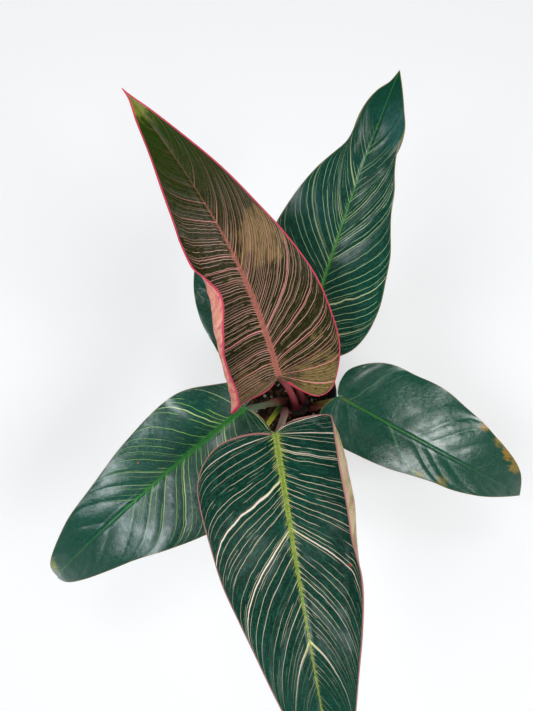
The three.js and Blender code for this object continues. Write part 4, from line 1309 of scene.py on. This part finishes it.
STUB_ROWS = 40
stub_path = smooth_curve([(-1.5, -10.2, 79.5), (-3, -12.5, 81), (-7, -18.5, 89), (-14.3, -28.8, 102)], 30)
share = np.linspace(0, 1, STUB_ROWS)
radius = 2.6 - 0.5 * share - 0.5 * np.clip((share - 0.96) / 0.04, 0, 1) ** 2
stub_seam = np.array([0.5, 0.4, 0.76])
stub_tube = stalk_tube(along_curve(stub_path, share), radius, 0.14 + 0 * share, stub_seam)
stub = make_piece("cut_leaf_stub", *stub_tube, sharp=60)
stub.data.materials.append(stalk_finish("stub_skin", "4e7a3c", "b4b63a", "9cb058", 0.3))
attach(stub, "root")
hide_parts("cut_stub")


# Studio
# A round pale floor that fades into the dome at its far edge, soft light from three large panels,
# and the camera high over the plant, looking down at it ten degrees off plumb.

FLOOR_REACH = 9000.0
FLOOR_RINGS, FLOOR_SIDES = 25, 96
floor_rings = [(radius, -0.02) for radius in FLOOR_REACH * np.linspace(1, 0, FLOOR_RINGS) ** 2]
floor_faces = grid_faces(FLOOR_RINGS, FLOOR_SIDES, wrap=True)
floor = make_piece("studio_floor", turned(floor_rings, FLOOR_SIDES), floor_faces)
pale, where, feed = finish("pale_floor", {"Specular IOR Level": 0.1, "Emission Strength": 1.0})
tone = where.noise(3, 2)
away = where.node("VectorMath", {"operation": "LENGTH"}, {0: where}, out=1)
feed(
    Base_Color=tone.blend("bfc1c4", "c3c4c7"),
    Emission_Color=away.step(0.45, 2.6).blend("bcbab9", "dedfe2"),
    Roughness=0.9 + tone * 0.05,
)
floor.data.materials.append(pale)

scene = bpy.context.scene
world = bpy.data.worlds.new("pale_dome")
scene.world = world
world.use_nodes = True
dome = world.node_tree.nodes["Background"]
sky = Wire(world.node_tree.nodes.new("ShaderNodeTexCoord").outputs["Generated"])
glow = sky.part(2).step(0.68, 0.05).blend("2a2c2e", "e8e9ec")
world.node_tree.links.new(glow.socket, dome.inputs["Color"])
dome.inputs["Strength"].default_value = 1.0

# Each panel: azimuth and elevation in degrees, distance, width, height, power, and its light's colour.
AIM = np.array([0.0, 0.0, 0.2])
PANELS = {
    "panel_left": (-164, 58, 1.35, 0.8, 0.55, 10.5, (0.9, 0.96, 1.0)),
    "panel_right": (-25, 52, 1.4, 0.6, 0.5, 10.5, (0.97, 1.0, 0.99)),
    "panel_back": (98, 70, 1.35, 0.3, 0.2, 2.0, (1.0, 1.0, 1.0)),
}
for name, (azimuth, elevation, distance, wide, tall, power, colour) in PANELS.items():
    lamp = bpy.data.lights.new(name, "AREA")
    lamp.shape = "RECTANGLE"
    lamp.size, lamp.size_y, lamp.energy, lamp.color = wide, tall, power, colour
    panel = bpy.data.objects.new(name, lamp)
    scene.collection.objects.link(panel)
    a, e = np.radians(azimuth), np.radians(elevation)
    towards = np.array([np.cos(a) * np.cos(e), np.sin(a) * np.cos(e), np.sin(e)])
    panel.location = AIM + towards * distance
    panel.rotation_euler = (np.pi / 2 - e, 0, a + np.pi / 2)

CAMERA_PLACE = (-0.0140, -0.0524, 0.5913)
CAMERA_TILT = 10.0
LENS, SENSOR = 28.0, 36.0
camera_data = bpy.data.cameras.new("camera")
camera_data.sensor_width = SENSOR
camera_data.lens = LENS
camera = bpy.data.objects.new("camera", camera_data)
scene.collection.objects.link(camera)
camera.location = CAMERA_PLACE
camera.rotation_euler = (np.radians(CAMERA_TILT), 0, 0)
scene.camera = camera
scene.view_settings.view_transform = "Standard"
